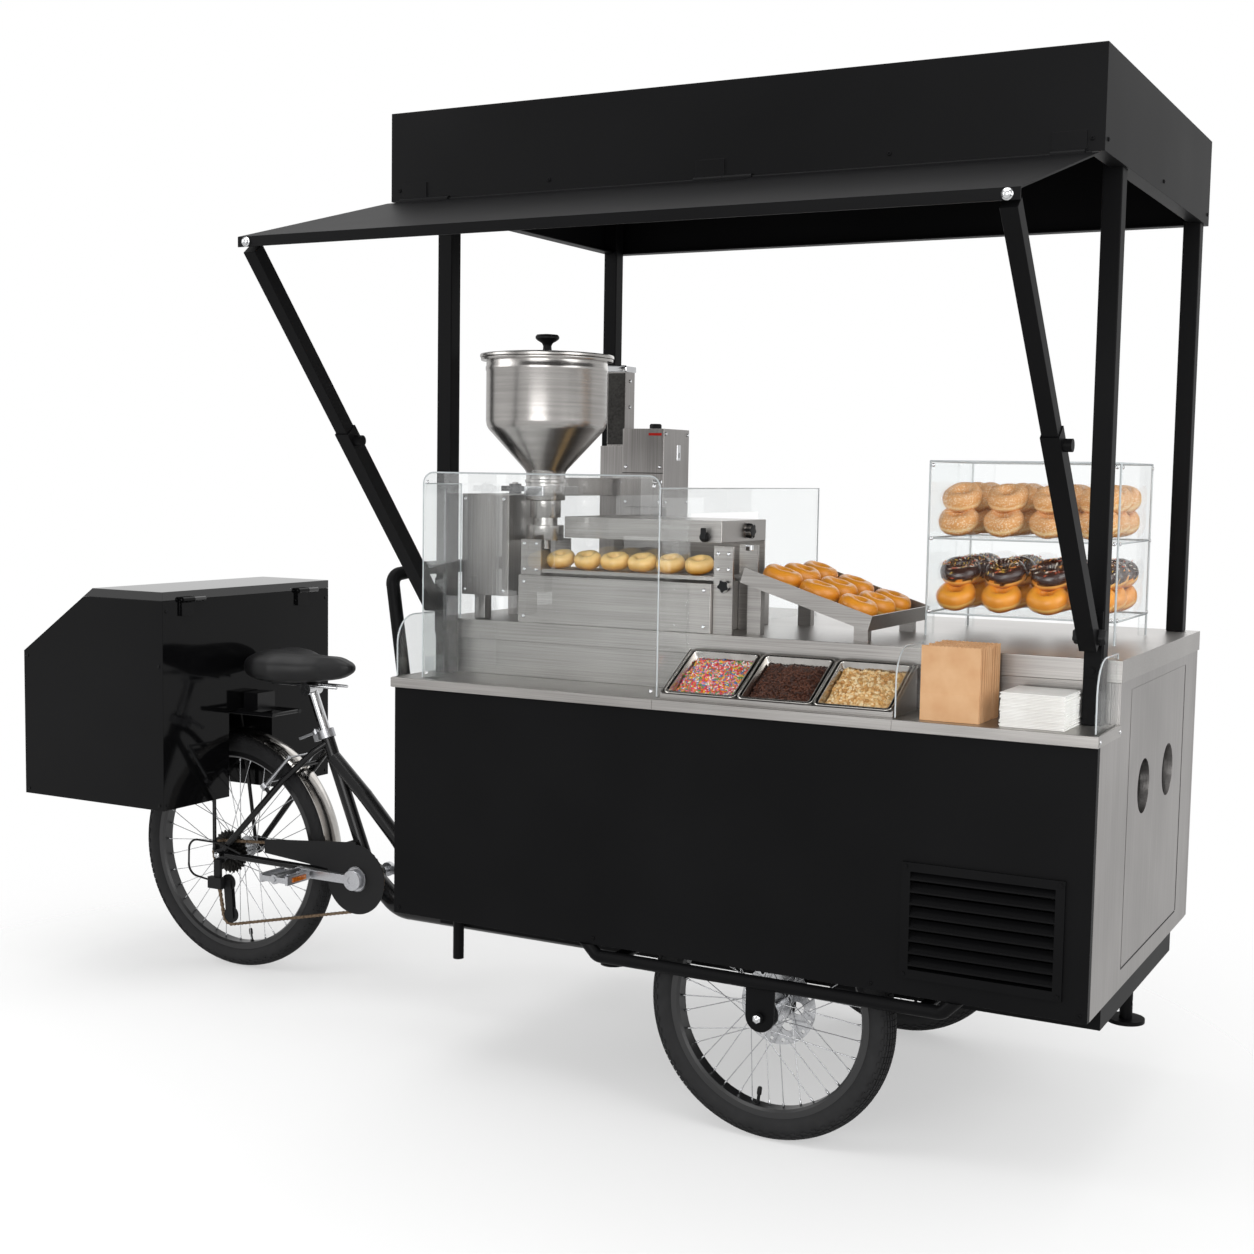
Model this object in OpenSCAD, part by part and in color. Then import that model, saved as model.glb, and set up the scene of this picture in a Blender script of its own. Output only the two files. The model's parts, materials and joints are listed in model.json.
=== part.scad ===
// Bicycle food cart: a counter cart on two front wheels, steered about a kingpin
// by a bicycle half that carries the rider, the drive wheel and a rear box.
// Millimetres, +Z up, +X along the ride, customers stand at -Y.

/* [Cart body] */
// Length of the cart along the ride
cart_l = 1507; // [1480:1:1600]
// Width of the cart across the ride
cart_w = 912; // [890:1:960]
// Height of the cabinet's lower edge above the ground
cabinet_bottom = 352; // [345:1:365]
// Thickness of the cabinet's panels
panel_t = 18; // [14:1:20]
// Height of the serving ledge's top
ledge_top = 870; // [860:1:890]
// Thickness of the serving ledge
ledge_t = 22; // [18:1:26]
// Depth of the serving ledge in front of the counter
ledge_depth = 156; // [150:1:165]
// Overhang of the ledge past the front panel
ledge_lip = 10; // [6:1:14]
// Height of the work counter's top
counter_top = 989; // [975:1:1000]
// Thickness of the work counter's edge band
counter_t = 42; // [34:1:48]
// Setback of the counter's riser behind its edge
riser_setback = 10; // [6:1:16]
// Overhang of ledge and counter past the cart's ends
end_lip = 3; // [2:1:6]
// Thickness of folded sheet metal
sheet_t = 3; // [2:0.5:4]

/* [Chassis] */
// Height of the ladder tubes under the floor
ladder_h = 50; // [40:1:56]
// Width of the ladder tubes
ladder_w = 40; // [34:1:46]
// Outer width of the ladder
ladder_span = 640; // [620:1:650]
// Radius of the round side rails
rail_r = 13; // [11:0.5:15]
// Half length of a side rail on each side of its axle
rail_reach = 366; // [350:1:380]
// Width of the plates that hold an axle
fork_plate_w = 60; // [50:1:70]
// Thickness of the plates that hold an axle
fork_plate_t = 6; // [5:0.5:8]
// Place of the steering kingpin from the cart's bicycle end
kingpin_x = 300; // [285:1:310]
// Radius of the kingpin
kingpin_r = 20; // [18:0.5:22]
// Radius of the stub leg
stub_r = 12; // [10:0.5:14]

/* [Door and vent] */
// Width of the end door
door_w = 514; // [480:1:530]
// Height of the end door
door_h = 534; // [500:1:540]
// Gap around the end door
door_gap = 4.5; // [4.5:0.1:6]
// Radius of the two holes in the end door
door_hole_r = 54; // [45:1:60]
// Width of the vent grille's frame
vent_w = 304; // [280:1:306]
// Height of the vent grille's frame
vent_h = 219; // [200:1:230]
// Number of blades in the vent grille
vent_blades = 8; // [6:1:10]

/* [Canopy and awning] */
// Distance of the canopy's ends inside the cart's ends
canopy_inset = 18.5; // [14:0.5:22]
// Overhang of the canopy past the front posts' faces
canopy_overhang = 163; // [150:1:170]
// Depth of the canopy from its front to its back
canopy_depth = 963; // [950:1:980]
// Height of the canopy's lower edge above the ground
canopy_bottom = 1868; // [1850:1:1900]
// Height of the canopy's fascia
fascia_h = 180; // [170:1:195]
// Width of a square canopy post
post_w = 36; // [32:1:40]
// Distance of the posts' middles from the cart's ends
post_inset = 42; // [40:1:46]
// Depth of the awning flap from its hinge to its lip
flap_len = 487; // [470:1:490]
// Slope of the open awning flap
flap_slope = 15.2; // [15:0.1:16]
// Height of the flap's folded lip
flap_lip = 18; // [14:1:22]
// Radius of the awning hinge pin
hinge_pin_r = 4; // [3:0.5:4.5]
// Outer width of the strut's square tube
strut_w = 32; // [30:1:34]
// Wall of the strut's square tube
strut_wall = 2; // [1.5:0.1:2.5]
// Height of the strut's foot above the ledge
strut_foot = 150; // [140:1:170]

/* [Wheels] */
// Radius of a front wheel with its tyre
front_wheel_r = 260; // [256:1:264]
// Radius of the rear wheel with its tyre
rear_wheel_r = 310; // [306:1:312]
// Width of a tyre
tyre_w = 57; // [52:1:58]
// Place of the front axle from the cart's bicycle end
front_axle_x = 873; // [860:1:880]
// Distance of a front wheel's middle from the cart's side
wheel_inset = 60; // [57:1:64]
// Number of spokes in a wheel
spoke_count = 36; // [28:4:40]
// Radius of a spoke
spoke_r = 1; // [0.8:0.1:1]
// Radius of the disc rotor
rotor_r = 80; // [70:1:90]
// Radius of the front axle
axle_r = 6; // [5:0.5:7]

/* [Bicycle half] */
// Distance of the rear axle behind the cart's bicycle end
rear_axle_back = 830; // [822:1:840]
// Distance of the crank axle behind the cart's bicycle end
crank_back = 400; // [395:1:405]
// Height of the crank axle above the ground
crank_z = 295; // [290:1:300]
// Length of a crank arm
crank_len = 170; // [160:1:172]
// Backward lean of the seat tube
seat_lean = 22.4; // [21:0.1:23]
// Length of the seat tube above the crank axle
seat_tube_l = 385; // [375:1:395]
// Outer radius of the seat tube
seat_tube_r = 17; // [16:0.5:19]
// Radius of the seat post
seat_post_r = 13.6; // [12.5:0.1:14]
// Height of the saddle clamp along the seat tube's line above its top
saddle_rise = 112; // [105:1:125]
// Radius of the main beam under the cart
beam_r = 26; // [24:1:28]
// Height of the main beam's middle above the ground
beam_z = 222; // [216:1:226]
// Radius of the curved main tube
main_tube_r = 19; // [16:1:21]
// Radius of the chain stays
stay_r = 9; // [8:0.5:9]
// Height of the chain plane beside the middle
chain_y = 60; // [59:0.5:61]
// Pitch radius of the chainring
chainring_r = 76; // [72:1:80]
// Pitch radius of the sprocket that the chain runs on
sprocket_r = 30; // [27:1:32]

/* [Rear box] */
// Length of the rear box along the ride
box_l = 473; // [460:1:480]
// Width of the rear box
box_w = 646; // [600:1:680]
// Height of the rear box's bottom above the ground
box_bottom = 467; // [460:1:475]
// Height of the rear box's lid above the ground
box_top = 1008; // [980:1:1030]
// Length of the box's flat lid
lid_l = 231; // [215:1:245]
// Height of the slanted back panel's lower edge
box_slant_z = 837; // [820:1:850]
// Height of the lid's rim
lid_rim = 22; // [18:1:26]
// Wall of the rear box
box_wall = 8; // [6:0.5:10]
// Half width of the wheel tunnel in the rear box
tunnel_half = 84; // [82:1:90]
// Height of the wheel tunnel's ceiling
tunnel_top = 690; // [686:1:696]

/* [Doughnut machine] */
// Place of the hopper's axis from the cart's bicycle end
hopper_x = 232; // [230:1:240]
// Radius of the hopper's drum
hopper_r = 132; // [120:1:136]
// Wall of the hopper
hopper_wall = 2; // [1.5:0.1:3]
// Height of the hopper's rim above the ground
hopper_rim_z = 1560; // [1540:1:1580]
// Height of the hopper's drum
hopper_drum_h = 142; // [130:1:150]
// Height of the hopper's cone
hopper_cone_h = 103; // [95:1:110]
// Radius of the depositor's neck
neck_r = 43; // [40:1:44]
// Length of the fryer tank
fryer_l = 463; // [455:1:470]
// Depth of the fryer tank
fryer_depth = 300; // [290:1:305]
// Height of the fryer tank
fryer_h = 103; // [98:1:106]
// Length of the fryer hood
hood_l = 380; // [370:1:382]
// Height of the fryer hood
hood_h = 46; // [40:1:50]
// Height of the hood's lower face above the counter
hood_lift = 184; // [182:1:188]
// Outer radius of a doughnut
doughnut_r = 43; // [40:0.5:43]
// Radius of a doughnut's round section
dough_r = 17; // [15:0.5:17]
// Length of the drain tray
tray_l = 290; // [285:1:295]
// Depth of the drain tray
tray_depth = 350; // [340:1:360]
// Height of the drain tray's rim
tray_rim = 32; // [28:1:36]
// Slope of the drain tray
tray_slope = 17; // [16:0.5:17.5]

/* [Counter goods] */
// Length of the display case
case_l = 392; // [386:1:396]
// Depth of the display case
case_depth = 296; // [292:1:300]
// Height of the display case
case_h = 363; // [355:1:380]
// Thickness of clear sheet
clear_t = 5; // [4:0.5:6]
// Height of the tall clear guard above the ledge
guard_h = 440; // [420:1:460]
// Length of the tall clear guard
guard_l = 566; // [556:1:570]
// Width of a topping pan
pan_w = 158; // [150:1:159]
// Length of a topping pan along its slope
pan_l = 154; // [148:1:156]
// Depth of a topping pan
pan_depth = 42; // [36:1:44]
// Tilt of the topping pans
pan_tilt = 30; // [28:0.5:31]
// Number of paper bags in the stack
bag_count = 10; // [8:1:12]
// Number of napkins in the stack
napkin_count = 12; // [8:1:16]

/* [Hidden] */
$fn = 64;

// Running clearance of a shaft in its bore, and of faces that pass each other
fit = 0.05;
run_gap = 0.4;
// Gap at which loose pieces rest on their seats
seat_gap = 0.3;
// Bent tubes: swell of a bend over the straight tube, and lap of the straight tube in it
bend_swell = 0.3;
bend_lap = 2;

// Lengths along the counter follow the cart's length, from the length that they are drawn for
layout_l = 1507;
along = cart_l / layout_l;

// Cart outline: front and back faces, counter edge, riser
front_y = -cart_w / 2;
back_y = cart_w / 2;
counter_front = front_y + ledge_depth;
riser_y = counter_front + riser_setback;
ledge_bottom = ledge_top - ledge_t;
counter_bottom = counter_top - counter_t;
floor_t = 8;
floor_top = cabinet_bottom + floor_t;
ladder_bottom = cabinet_bottom - ladder_h;
ladder_y = ladder_span / 2;
ladder_start = 30;
ladder_end = cart_l - 7;

// Front wheels
wheel_y = cart_w / 2 - wheel_inset;
axle_half = 51;
tyre_r = tyre_w / 2;
front_rim_r = front_wheel_r - 47;
rear_rim_r = rear_wheel_r - 47;
rim_half = 19;
rim_depth = 17;
rim_t = 3;
bead_half = rim_half - rim_t;
flange_r = 29;
flange_half = 30;
hub_shell_r = 14;
spoke_lean = 60;
spoke_stagger = 2.2;
rail_y = wheel_y + axle_half + fork_plate_t / 2;
rail_z = cabinet_bottom - 24;
well_gap = 28;
well_half = front_wheel_r + well_gap;
well_top = front_wheel_r * 2 + well_gap;
well_in = wheel_y - axle_half - fork_plate_t - 10;

// Steering
sleeve_wall = 12;
sleeve_r = kingpin_r + fit + sleeve_wall;
sleeve_top = ladder_bottom - run_gap;
sleeve_bottom = beam_z - beam_r - 12;
nut_h = 14;
nut_r = kingpin_r + 10;

// Posts, canopy and flap
post_left = post_inset;
post_right = cart_l - post_inset;
post_front_y = counter_front - 2 - post_w / 2;
post_back_y = back_y - 38;
canopy_x0 = canopy_inset;
canopy_x1 = cart_l - canopy_inset;
canopy_front = post_front_y - post_w / 2 - canopy_overhang;
canopy_back = canopy_front + canopy_depth;
canopy_top = canopy_bottom + fascia_h;
canopy_wall = 4;
roof_t = 12;
knuckle_r = hinge_pin_r + 4;
hinge_y = canopy_front - knuckle_r;
hinge_z = canopy_bottom - knuckle_r / 2;
knuckle_l = 60;
flap_inset = 4;
flap_x0 = canopy_x0 + flap_inset;
flap_x1 = canopy_x1 - flap_inset;
flap_edge_y = hinge_y - flap_len * cos(flap_slope);
flap_edge_z = hinge_z - flap_len * sin(flap_slope);

// Strut line from its foot on the post to the flap's corner
foot_y = post_front_y - post_w / 2 - strut_w;
foot_z = ledge_top + strut_foot;
strut_dy = flap_edge_y - foot_y;
strut_dz = flap_edge_z - foot_z;
strut_l = sqrt(strut_dy * strut_dy + strut_dz * strut_dz);
strut_angle = atan2(strut_dz, -strut_dy);
strut_tip_gap = 24;
sleeve_l = strut_l * 0.52;
slide_overlap = 84;
slide_w = strut_w - 2 * strut_wall - 2 * fit;

// Bicycle half
rear_x = -rear_axle_back;
crank_x = -crank_back;
rear_z = rear_wheel_r;
dropout_y = 68;
dropout_t = 6;
stay_end_y = dropout_y + dropout_t;
shell_r = 21;
shell_half = 34;
spindle_r = 8.5;
arm_y = 66;
arm_t = 14;
pedal_l = 92;
pedal_w = 88;
pedal_t = 22;
pedal_axle_r = 6;
saddle_x = crank_x - (seat_tube_l + saddle_rise) * sin(seat_lean);
saddle_z = crank_z + (seat_tube_l + saddle_rise) * cos(seat_lean);
post_depth = 150;
guard_arm_end = -690;
mudguard_r = rear_wheel_r + 16;
mudguard_half = 31;
mudguard_t = 1.5;
jockey_r = 22;
jockey_low = [-806, 150];
jockey_high = [-815, 234];
freehub_r = 17;

// Rear box
saddle_tail = 184;
box_gap = 16;
box_x1 = min(rear_x + 40, saddle_x - saddle_tail - box_gap);
box_x0 = box_x1 - box_l;
lid_x0 = box_x1 - lid_l;
box_half = box_w / 2;
lid_seam = box_top - lid_rim;
lid_t = 4;
lid_pin_r = 3;
lid_knuckle_r = 7;
lid_knuckle_l = 40;
lid_axis_x = box_x1 + lid_knuckle_r + 1;
lid_axis_z = lid_seam + run_gap / 2;
rack_r = 6;
rack_z = tunnel_top - rack_r;

// Doughnut machine
machine_front = counter_front + 4;
machine_y = machine_front + 76;
hopper_mid = hopper_x * along;
fryer_len = fryer_l * along;
fryer_x0 = 211 * along;
fryer_x1 = fryer_x0 + fryer_len;
fryer_top = counter_top + fryer_h;
tank_wall = 4;
belt_z = fryer_top + 14;
hood_len = hood_l * along;
hood_x0 = fryer_x1 - 12 - hood_len;
hood_z = counter_top + hood_lift;
hood_y0 = machine_y - 2;
hood_y1 = machine_front + fryer_depth;
cheek_t = 5;
cone_top = hopper_rim_z - hopper_drum_h;
neck_top = cone_top - hopper_cone_h;
nozzle_bottom = neck_top - 160;
drive_x0 = 60 * along;
drive_w = 122 * along;
drive_y0 = machine_front + 6;
drive_depth = 190;
drive_z0 = counter_top + 54;
drive_h = 222;
lever_x = drive_x0 + 50 * along;
lever_y = drive_y0 + 140;
lever_l = 84 * along;
stud_r = 7;
tower_x0 = 200 * along;
tower_w = 178 * along;
tower_y0 = machine_y + 300;
tower_depth = 110;
tower_top = cone_top;
ring_r = doughnut_r - dough_r;
bake = min(1, along);
tray_len = tray_l * along;
tray_x0 = fryer_x1 + 58;
tray_y0 = machine_front + 16;
tray_z0 = counter_top + 108;

// Display case
case_len = case_l * along;
case_x0 = 1043 * along;
case_y0 = -34;
case_x1 = case_x0 + case_len;
case_y1 = case_y0 + case_depth;
case_top = counter_top + case_h;
shelf_low = counter_top + 45;
shelf_mid = counter_top + 200;
case_rows = 3;
case_cols = 4;

// Guards and goods on the ledge
guard_x0 = post_left + post_w / 2 + 4;
guard_len = guard_l * along;
guard_y = front_y + 10;
guard_top = ledge_top + guard_h;
low_guard_h = 132;
pan_count = 3;
pan_wide = pan_w * along;
pan_pitch = pan_wide + 2;
pan_x0 = guard_x0 + guard_len + 12;
pan_front_y = front_y + 10;
pan_front_z = ledge_top + 12;
pan_wall = 1.5;
pan_rim = 8;
divider_x = pan_x0 + pan_count * pan_pitch + 8;
bag_w = 112 * along;
bag_h = 140;
goods_front = front_y + 14;
napkin_w = 120 * along;
napkin_x0 = post_right - post_w / 2 - 4 - napkin_w;
bags_x0 = napkin_x0 - 36 * along - bag_w;

// Middle of the whole outline, so that the origin lies under it on the ground
flap_lip_t = sheet_t;
mid_x = (box_x0 + cart_l + end_lip) / 2;
far_edge = max(canopy_back, rail_y + rail_r);
mid_y = (flap_edge_y - flap_lip_t + far_edge) / 2;

// Moves a piece from the cart's own corner to the origin
module place() {
  translate([-mid_x, -mid_y, 0]) children();
}

// Box between two corners
module box(a, b) {
  translate(a) cube(b - a);
}

// Cylinder along Y from y0 to y1
module rod_y(x, z, r, y0, y1) {
  translate([x, y0, z]) rotate([-90, 0, 0]) cylinder(r = r, h = y1 - y0);
}

// Cylinder along X from x0 to x1
module rod_x(y, z, r, x0, x1) {
  translate([x0, y, z]) rotate([0, 90, 0]) cylinder(r = r, h = x1 - x0);
}

// Cylinder between two points
module bar(p, q, r) {
  d = q - p;
  l = norm(d);
  translate(p) rotate([0, acos(d[2] / l), atan2(d[1], d[0])]) cylinder(r = r, h = l);
}

function unit(v) = v / norm(v);

// One bend of a tube at corner b, between corners a and c
module bend(a, b, c, r, bend_r) {
  u = unit(b - a);
  v = unit(c - b);
  turn = acos(u * v);
  start = b - u * bend_r * tan(turn / 2);
  centre = b + unit(v - u) * bend_r / cos(turn / 2);
  ex = unit(start - centre);
  ez = cross(ex, u);
  multmatrix([
    [ex[0], u[0], ez[0], centre[0]],
    [ex[1], u[1], ez[1], centre[1]],
    [ex[2], u[2], ez[2], centre[2]]
  ]) rotate_extrude(angle = turn) translate([bend_r, 0]) circle(r = r + bend_swell);
}

// Length of straight tube that a bend at corner b takes up on each side, less its lap
function bend_cut(a, b, c, bend_r) = bend_r * tan(acos(unit(b - a) * unit(c - b)) / 2) - bend_lap;

// Round tube along corner points, with bends of one radius
module bent_tube(pts, r, bend_r) {
  last = len(pts) - 1;
  for (i = [0 : last - 1]) {
    u = unit(pts[i + 1] - pts[i]);
    cut_a = i == 0 ? 0 : bend_cut(pts[i - 1], pts[i], pts[i + 1], bend_r);
    cut_b = i == last - 1 ? 0 : bend_cut(pts[i], pts[i + 1], pts[i + 2], bend_r);
    bar(pts[i] + u * cut_a, pts[i + 1] - u * cut_b, r);
  }
  for (i = [1 : last - 1]) {
    bend(pts[i - 1], pts[i], pts[i + 1], r, bend_r);
  }
}

// Extrudes an outline drawn in Y and Z along X
module profile_x(x0, x1) {
  translate([x0, 0, 0]) rotate([90, 0, 90]) linear_extrude(x1 - x0) children();
}

// Extrudes an outline drawn in X and Z along Y
module profile_y(y0, y1) {
  translate([0, y1, 0]) rotate([90, 0, 0]) linear_extrude(y1 - y0) children();
}

// Ring doughnut lying flat, with its lowest point at the origin
module doughnut() {
  translate([0, 0, dough_r]) rotate_extrude() translate([ring_r, 0]) circle(r = dough_r, $fn = 40);
}

// Repeats a piece on the near and the far side
module both_sides() {
  children();
  mirror([0, 1, 0]) children();
}

module ladder() {
  for (s = [-1, 1]) {
    y = s * (ladder_y - ladder_w / 2);
    box([ladder_start, y - ladder_w / 2, ladder_bottom], [ladder_end, y + ladder_w / 2, cabinet_bottom]);
  }
  cross_y = ladder_y - ladder_w / 2;
  for (span = [
    [ladder_start, ladder_start + ladder_w],
    [kingpin_x - ladder_w, kingpin_x + ladder_w],
    [front_axle_x - ladder_w / 2, front_axle_x + ladder_w / 2],
    [jack_x - 30, ladder_end]
  ]) {
    box([span[0], -cross_y, ladder_bottom], [span[1], cross_y, cabinet_bottom]);
  }
}

// Rail, axle plates and cross tubes that carry the near front wheel
module wheel_carrier() {
  x0 = front_axle_x - rail_reach;
  x1 = front_axle_x + rail_reach;
  end_rise = 2 * (cabinet_bottom - rail_z);
  bent_tube([
    [x0 - end_rise, -rail_y, rail_z + end_rise],
    [x0, -rail_y, rail_z],
    [x1, -rail_y, rail_z],
    [x1 + end_rise, -rail_y, rail_z + end_rise]
  ], rail_r, 20);
  for (x = [x0 + 40, x1 - 40]) {
    rod_y(x, rail_z, rail_r - 2, -rail_y, -ladder_y + 1);
  }
  for (y = [-rail_y, -wheel_y + axle_half + fork_plate_t / 2]) {
    fork_plate(y);
  }
  plate_x = front_axle_x - fork_plate_w / 2;
  box(
    [plate_x, -wheel_y + axle_half, rail_z - rail_r],
    [plate_x + fork_plate_w, -ladder_y + 1, cabinet_bottom]
  );
}

module fork_plate(y) {
  top = rail_z + rail_r / 2;
  plate_x = front_axle_x - fork_plate_w / 2;
  rod_y(front_axle_x, front_wheel_r, fork_plate_w / 2, y - fork_plate_t / 2, y + fork_plate_t / 2);
  box([plate_x, y - fork_plate_t / 2, front_wheel_r], [plate_x + fork_plate_w, y + fork_plate_t / 2, top]);
}

// Wheel axle with its bolt head outside the plate
module front_axle() {
  outer = -rail_y - fork_plate_t / 2;
  rod_y(front_axle_x, front_wheel_r, axle_r, outer - 1, -wheel_y + axle_half + 1);
  rod_y(front_axle_x, front_wheel_r, axle_r + 5, outer - 9, outer);
}

module stub_leg() {
  x = 90;
  y = -ladder_y - stub_r - 4;
  bottom = 234;
  translate([x, y, bottom]) cylinder(r = stub_r, h = cabinet_bottom - bottom);
  box([x - stub_r, y, cabinet_bottom - 12], [x + stub_r, -ladder_y + 1, cabinet_bottom]);
}

module kingpin() {
  pin_bottom = sleeve_bottom - run_gap;
  pin_top = ladder_bottom + ladder_h / 2;
  translate([kingpin_x, 0, pin_bottom]) cylinder(r = kingpin_r, h = pin_top - pin_bottom);
  translate([kingpin_x, 0, pin_bottom - nut_h]) cylinder(r = nut_r, h = nut_h);
}

module chassis() {
  color("#1c1c1e") place() difference() {
    union() {
      ladder();
      both_sides() wheel_carrier();
      both_sides() front_axle();
      both_sides() stub_leg();
      kingpin();
    }
    translate([jack_x, jack_y, ladder_bottom - 1]) cylinder(r = jack_r + fit, h = ladder_h + 2);
    box([-cart_w, -cart_w, cabinet_bottom], [2 * cart_l, cart_w, cabinet_bottom + cart_w]);
  }
}

// Floor sheet between the panels, with a well over each front wheel
module floor_pan() {
  in = panel_t;
  half = cart_w / 2 - in;
  x0 = front_axle_x - well_half;
  x1 = front_axle_x + well_half;
  color("#2a2b2d") place() difference() {
    union() {
      box([in, -half, cabinet_bottom], [cart_l - in, half, floor_top]);
      both_sides() box(
        [x0 - sheet_t, -half, cabinet_bottom],
        [x1 + sheet_t, -well_in + sheet_t, well_top + sheet_t]
      );
    }
    both_sides() box([x0, -half + sheet_t, cabinet_bottom - 1], [x1, -well_in, well_top]);
    translate([jack_x, jack_y, cabinet_bottom - 1]) cylinder(r = jack_r + 1, h = floor_t + 2);
  }
}

vent_x0 = cart_l - 350;
vent_z0 = cabinet_bottom + 35;
vent_rim = 17;
vent_t = 6;

module front_panel() {
  color("#141414") place() difference() {
    box([0, front_y, cabinet_bottom], [cart_l, front_y + panel_t, ledge_bottom]);
    box(
      [vent_x0 + vent_rim, front_y - 1, vent_z0 + vent_rim],
      [vent_x0 + vent_w - vent_rim, front_y + panel_t + 1, vent_z0 + vent_h - vent_rim]
    );
  }
}

module back_panel() {
  color("#b9b7b2") place() box([0, back_y - panel_t, cabinet_bottom], [cart_l, back_y, counter_bottom]);
}

// Outline of an end of the cabinet, with its step at the ledge
module end_outline() {
  polygon([
    [front_y + panel_t, cabinet_bottom],
    [back_y - panel_t, cabinet_bottom],
    [back_y - panel_t, counter_bottom],
    [riser_y, counter_bottom],
    [riser_y, ledge_bottom],
    [front_y + panel_t, ledge_bottom]
  ]);
}

door_y0 = -197;
door_y1 = door_y0 + door_w;
door_z0 = cabinet_bottom + 40;
door_z1 = door_z0 + door_h;
door_axis_y = door_y1 - 8;
door_axis_x = cart_l - panel_t / 2;
door_pin_r = 4;
door_pin_l = 10;

module end_panels() {
  color("#b9b7b2") place() {
    profile_x(0, panel_t) end_outline();
    difference() {
      profile_x(cart_l - panel_t, cart_l) end_outline();
      box(
        [cart_l - panel_t - 1, door_y0 - door_gap, door_z0 - run_gap],
        [cart_l + 1, door_y1 + door_gap, door_z1 + run_gap]
      );
      translate([door_axis_x, door_axis_y, door_z0 - door_pin_l - 2]) {
        cylinder(r = door_pin_r + fit, h = door_h + 2 * door_pin_l + 4);
      }
    }
  }
}

// Door on pivot pins near its back edge, with two round holes
module end_door() {
  color("#c4c2bd") place() {
    difference() {
      box([cart_l - panel_t, door_y0, door_z0], [cart_l, door_y1, door_z1]);
      for (y = [door_y0 + 137, door_y0 + 367]) {
        rod_x(y, door_z0 + 330, door_hole_r, cart_l - panel_t - 1, cart_l + 1);
      }
    }
    for (z = [door_z0 - door_pin_l, door_z1]) {
      translate([door_axis_x, door_axis_y, z]) cylinder(r = door_pin_r, h = door_pin_l);
    }
  }
}

module vent_grille() {
  x1 = vent_x0 + vent_w;
  z1 = vent_z0 + vent_h;
  open_h = vent_h - 2 * vent_rim;
  pitch = open_h / vent_blades;
  color("#1a1a1b") place() {
    difference() {
      box([vent_x0, front_y - vent_t, vent_z0], [x1, front_y, z1]);
      box(
        [vent_x0 + vent_rim, front_y - vent_t - 1, vent_z0 + vent_rim],
        [x1 - vent_rim, front_y + 1, z1 - vent_rim]
      );
    }
    for (i = [0 : vent_blades - 1]) {
      z = vent_z0 + vent_rim + (i + 0.3) * pitch;
      profile_x(vent_x0 + vent_rim, x1 - vent_rim) polygon([
        [front_y - vent_t, z],
        [front_y - vent_t, z + 3],
        [front_y + 8, z + pitch * 0.7],
        [front_y + 8, z + pitch * 0.7 - 3]
      ]);
    }
    for (x = [vent_x0 + 8, x1 - 8], z = [vent_z0 + 8, z1 - 8]) {
      rod_y(x, z, 4, front_y - vent_t - 2, front_y - vent_t);
    }
  }
}

// Serving ledge with a cut-out that the topping pans hang in
module ledge() {
  color("#cfcdc8") place() difference() {
    box([-end_lip, front_y - ledge_lip, ledge_bottom], [cart_l + end_lip, riser_y, ledge_top]);
    box(
      [pan_x0 + 4, front_y + panel_t + 3, ledge_bottom - 1],
      [pan_x0 + pan_count * pan_pitch - 4, counter_front - 70, ledge_top + 1]
    );
  }
}

// Work counter: thick edge band and a riser that stands on the ledge
module counter() {
  color("#cfcdc8") place() union() {
    box([-end_lip, counter_front, counter_bottom], [cart_l + end_lip, back_y + end_lip, counter_top]);
    box([panel_t, riser_y - sheet_t, ledge_top], [cart_l - panel_t, riser_y, counter_bottom]);
  }
}

jack_x = cart_l - 38;
jack_y = 50;
jack_r = 13;
jack_pad_z = 214;
jack_travel = 212;

// Drop leg at the nose, with a lock eye and a round pad
module nose_jack() {
  stem_top = ladder_bottom + jack_travel + 90;
  eye_z = jack_pad_z + 40;
  color("#18181a") place() {
    difference() {
      translate([jack_x, jack_y, jack_pad_z + 8]) cylinder(r = jack_r, h = stem_top - jack_pad_z - 8);
      rod_x(jack_y, eye_z, 6, jack_x - jack_r - 1, jack_x + jack_r + 1);
    }
    translate([jack_x, jack_y, jack_pad_z]) cylinder(r = 38, h = 8);
  }
}

bar_y = 352;
bar_r = 15;

// Push bar that the rider steers the cart with
module push_bar() {
  foot = 800;
  reach = 42;
  shoulder = 1080;
  grip_x = -60;
  grip_y = bar_y - 90;
  grip_z = shoulder + 14;
  color("#1a1a1c") place() bent_tube([
    [0, -bar_y, foot],
    [-reach, -bar_y, foot],
    [-2 * reach, -bar_y, shoulder],
    [grip_x, -grip_y, grip_z],
    [grip_x, grip_y, grip_z],
    [-2 * reach, bar_y, shoulder],
    [-reach, bar_y, foot],
    [0, bar_y, foot]
  ], bar_r, 24);
}

module posts() {
  w = post_w / 2;
  color("#151516") place() for (x = [post_left, post_right]) {
    box([x - w, post_front_y - w, ledge_top], [x + w, post_front_y + w, canopy_top - roof_t]);
    box([x - w, post_back_y - w, counter_top], [x + w, post_back_y + w, canopy_top - roof_t]);
  }
}

// Places of the canopy's hinge knuckles along the flap
knuckle_places = [canopy_x0 + 30, (canopy_x0 + canopy_x1 - knuckle_l) / 2, canopy_x1 - 30 - knuckle_l];

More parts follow.
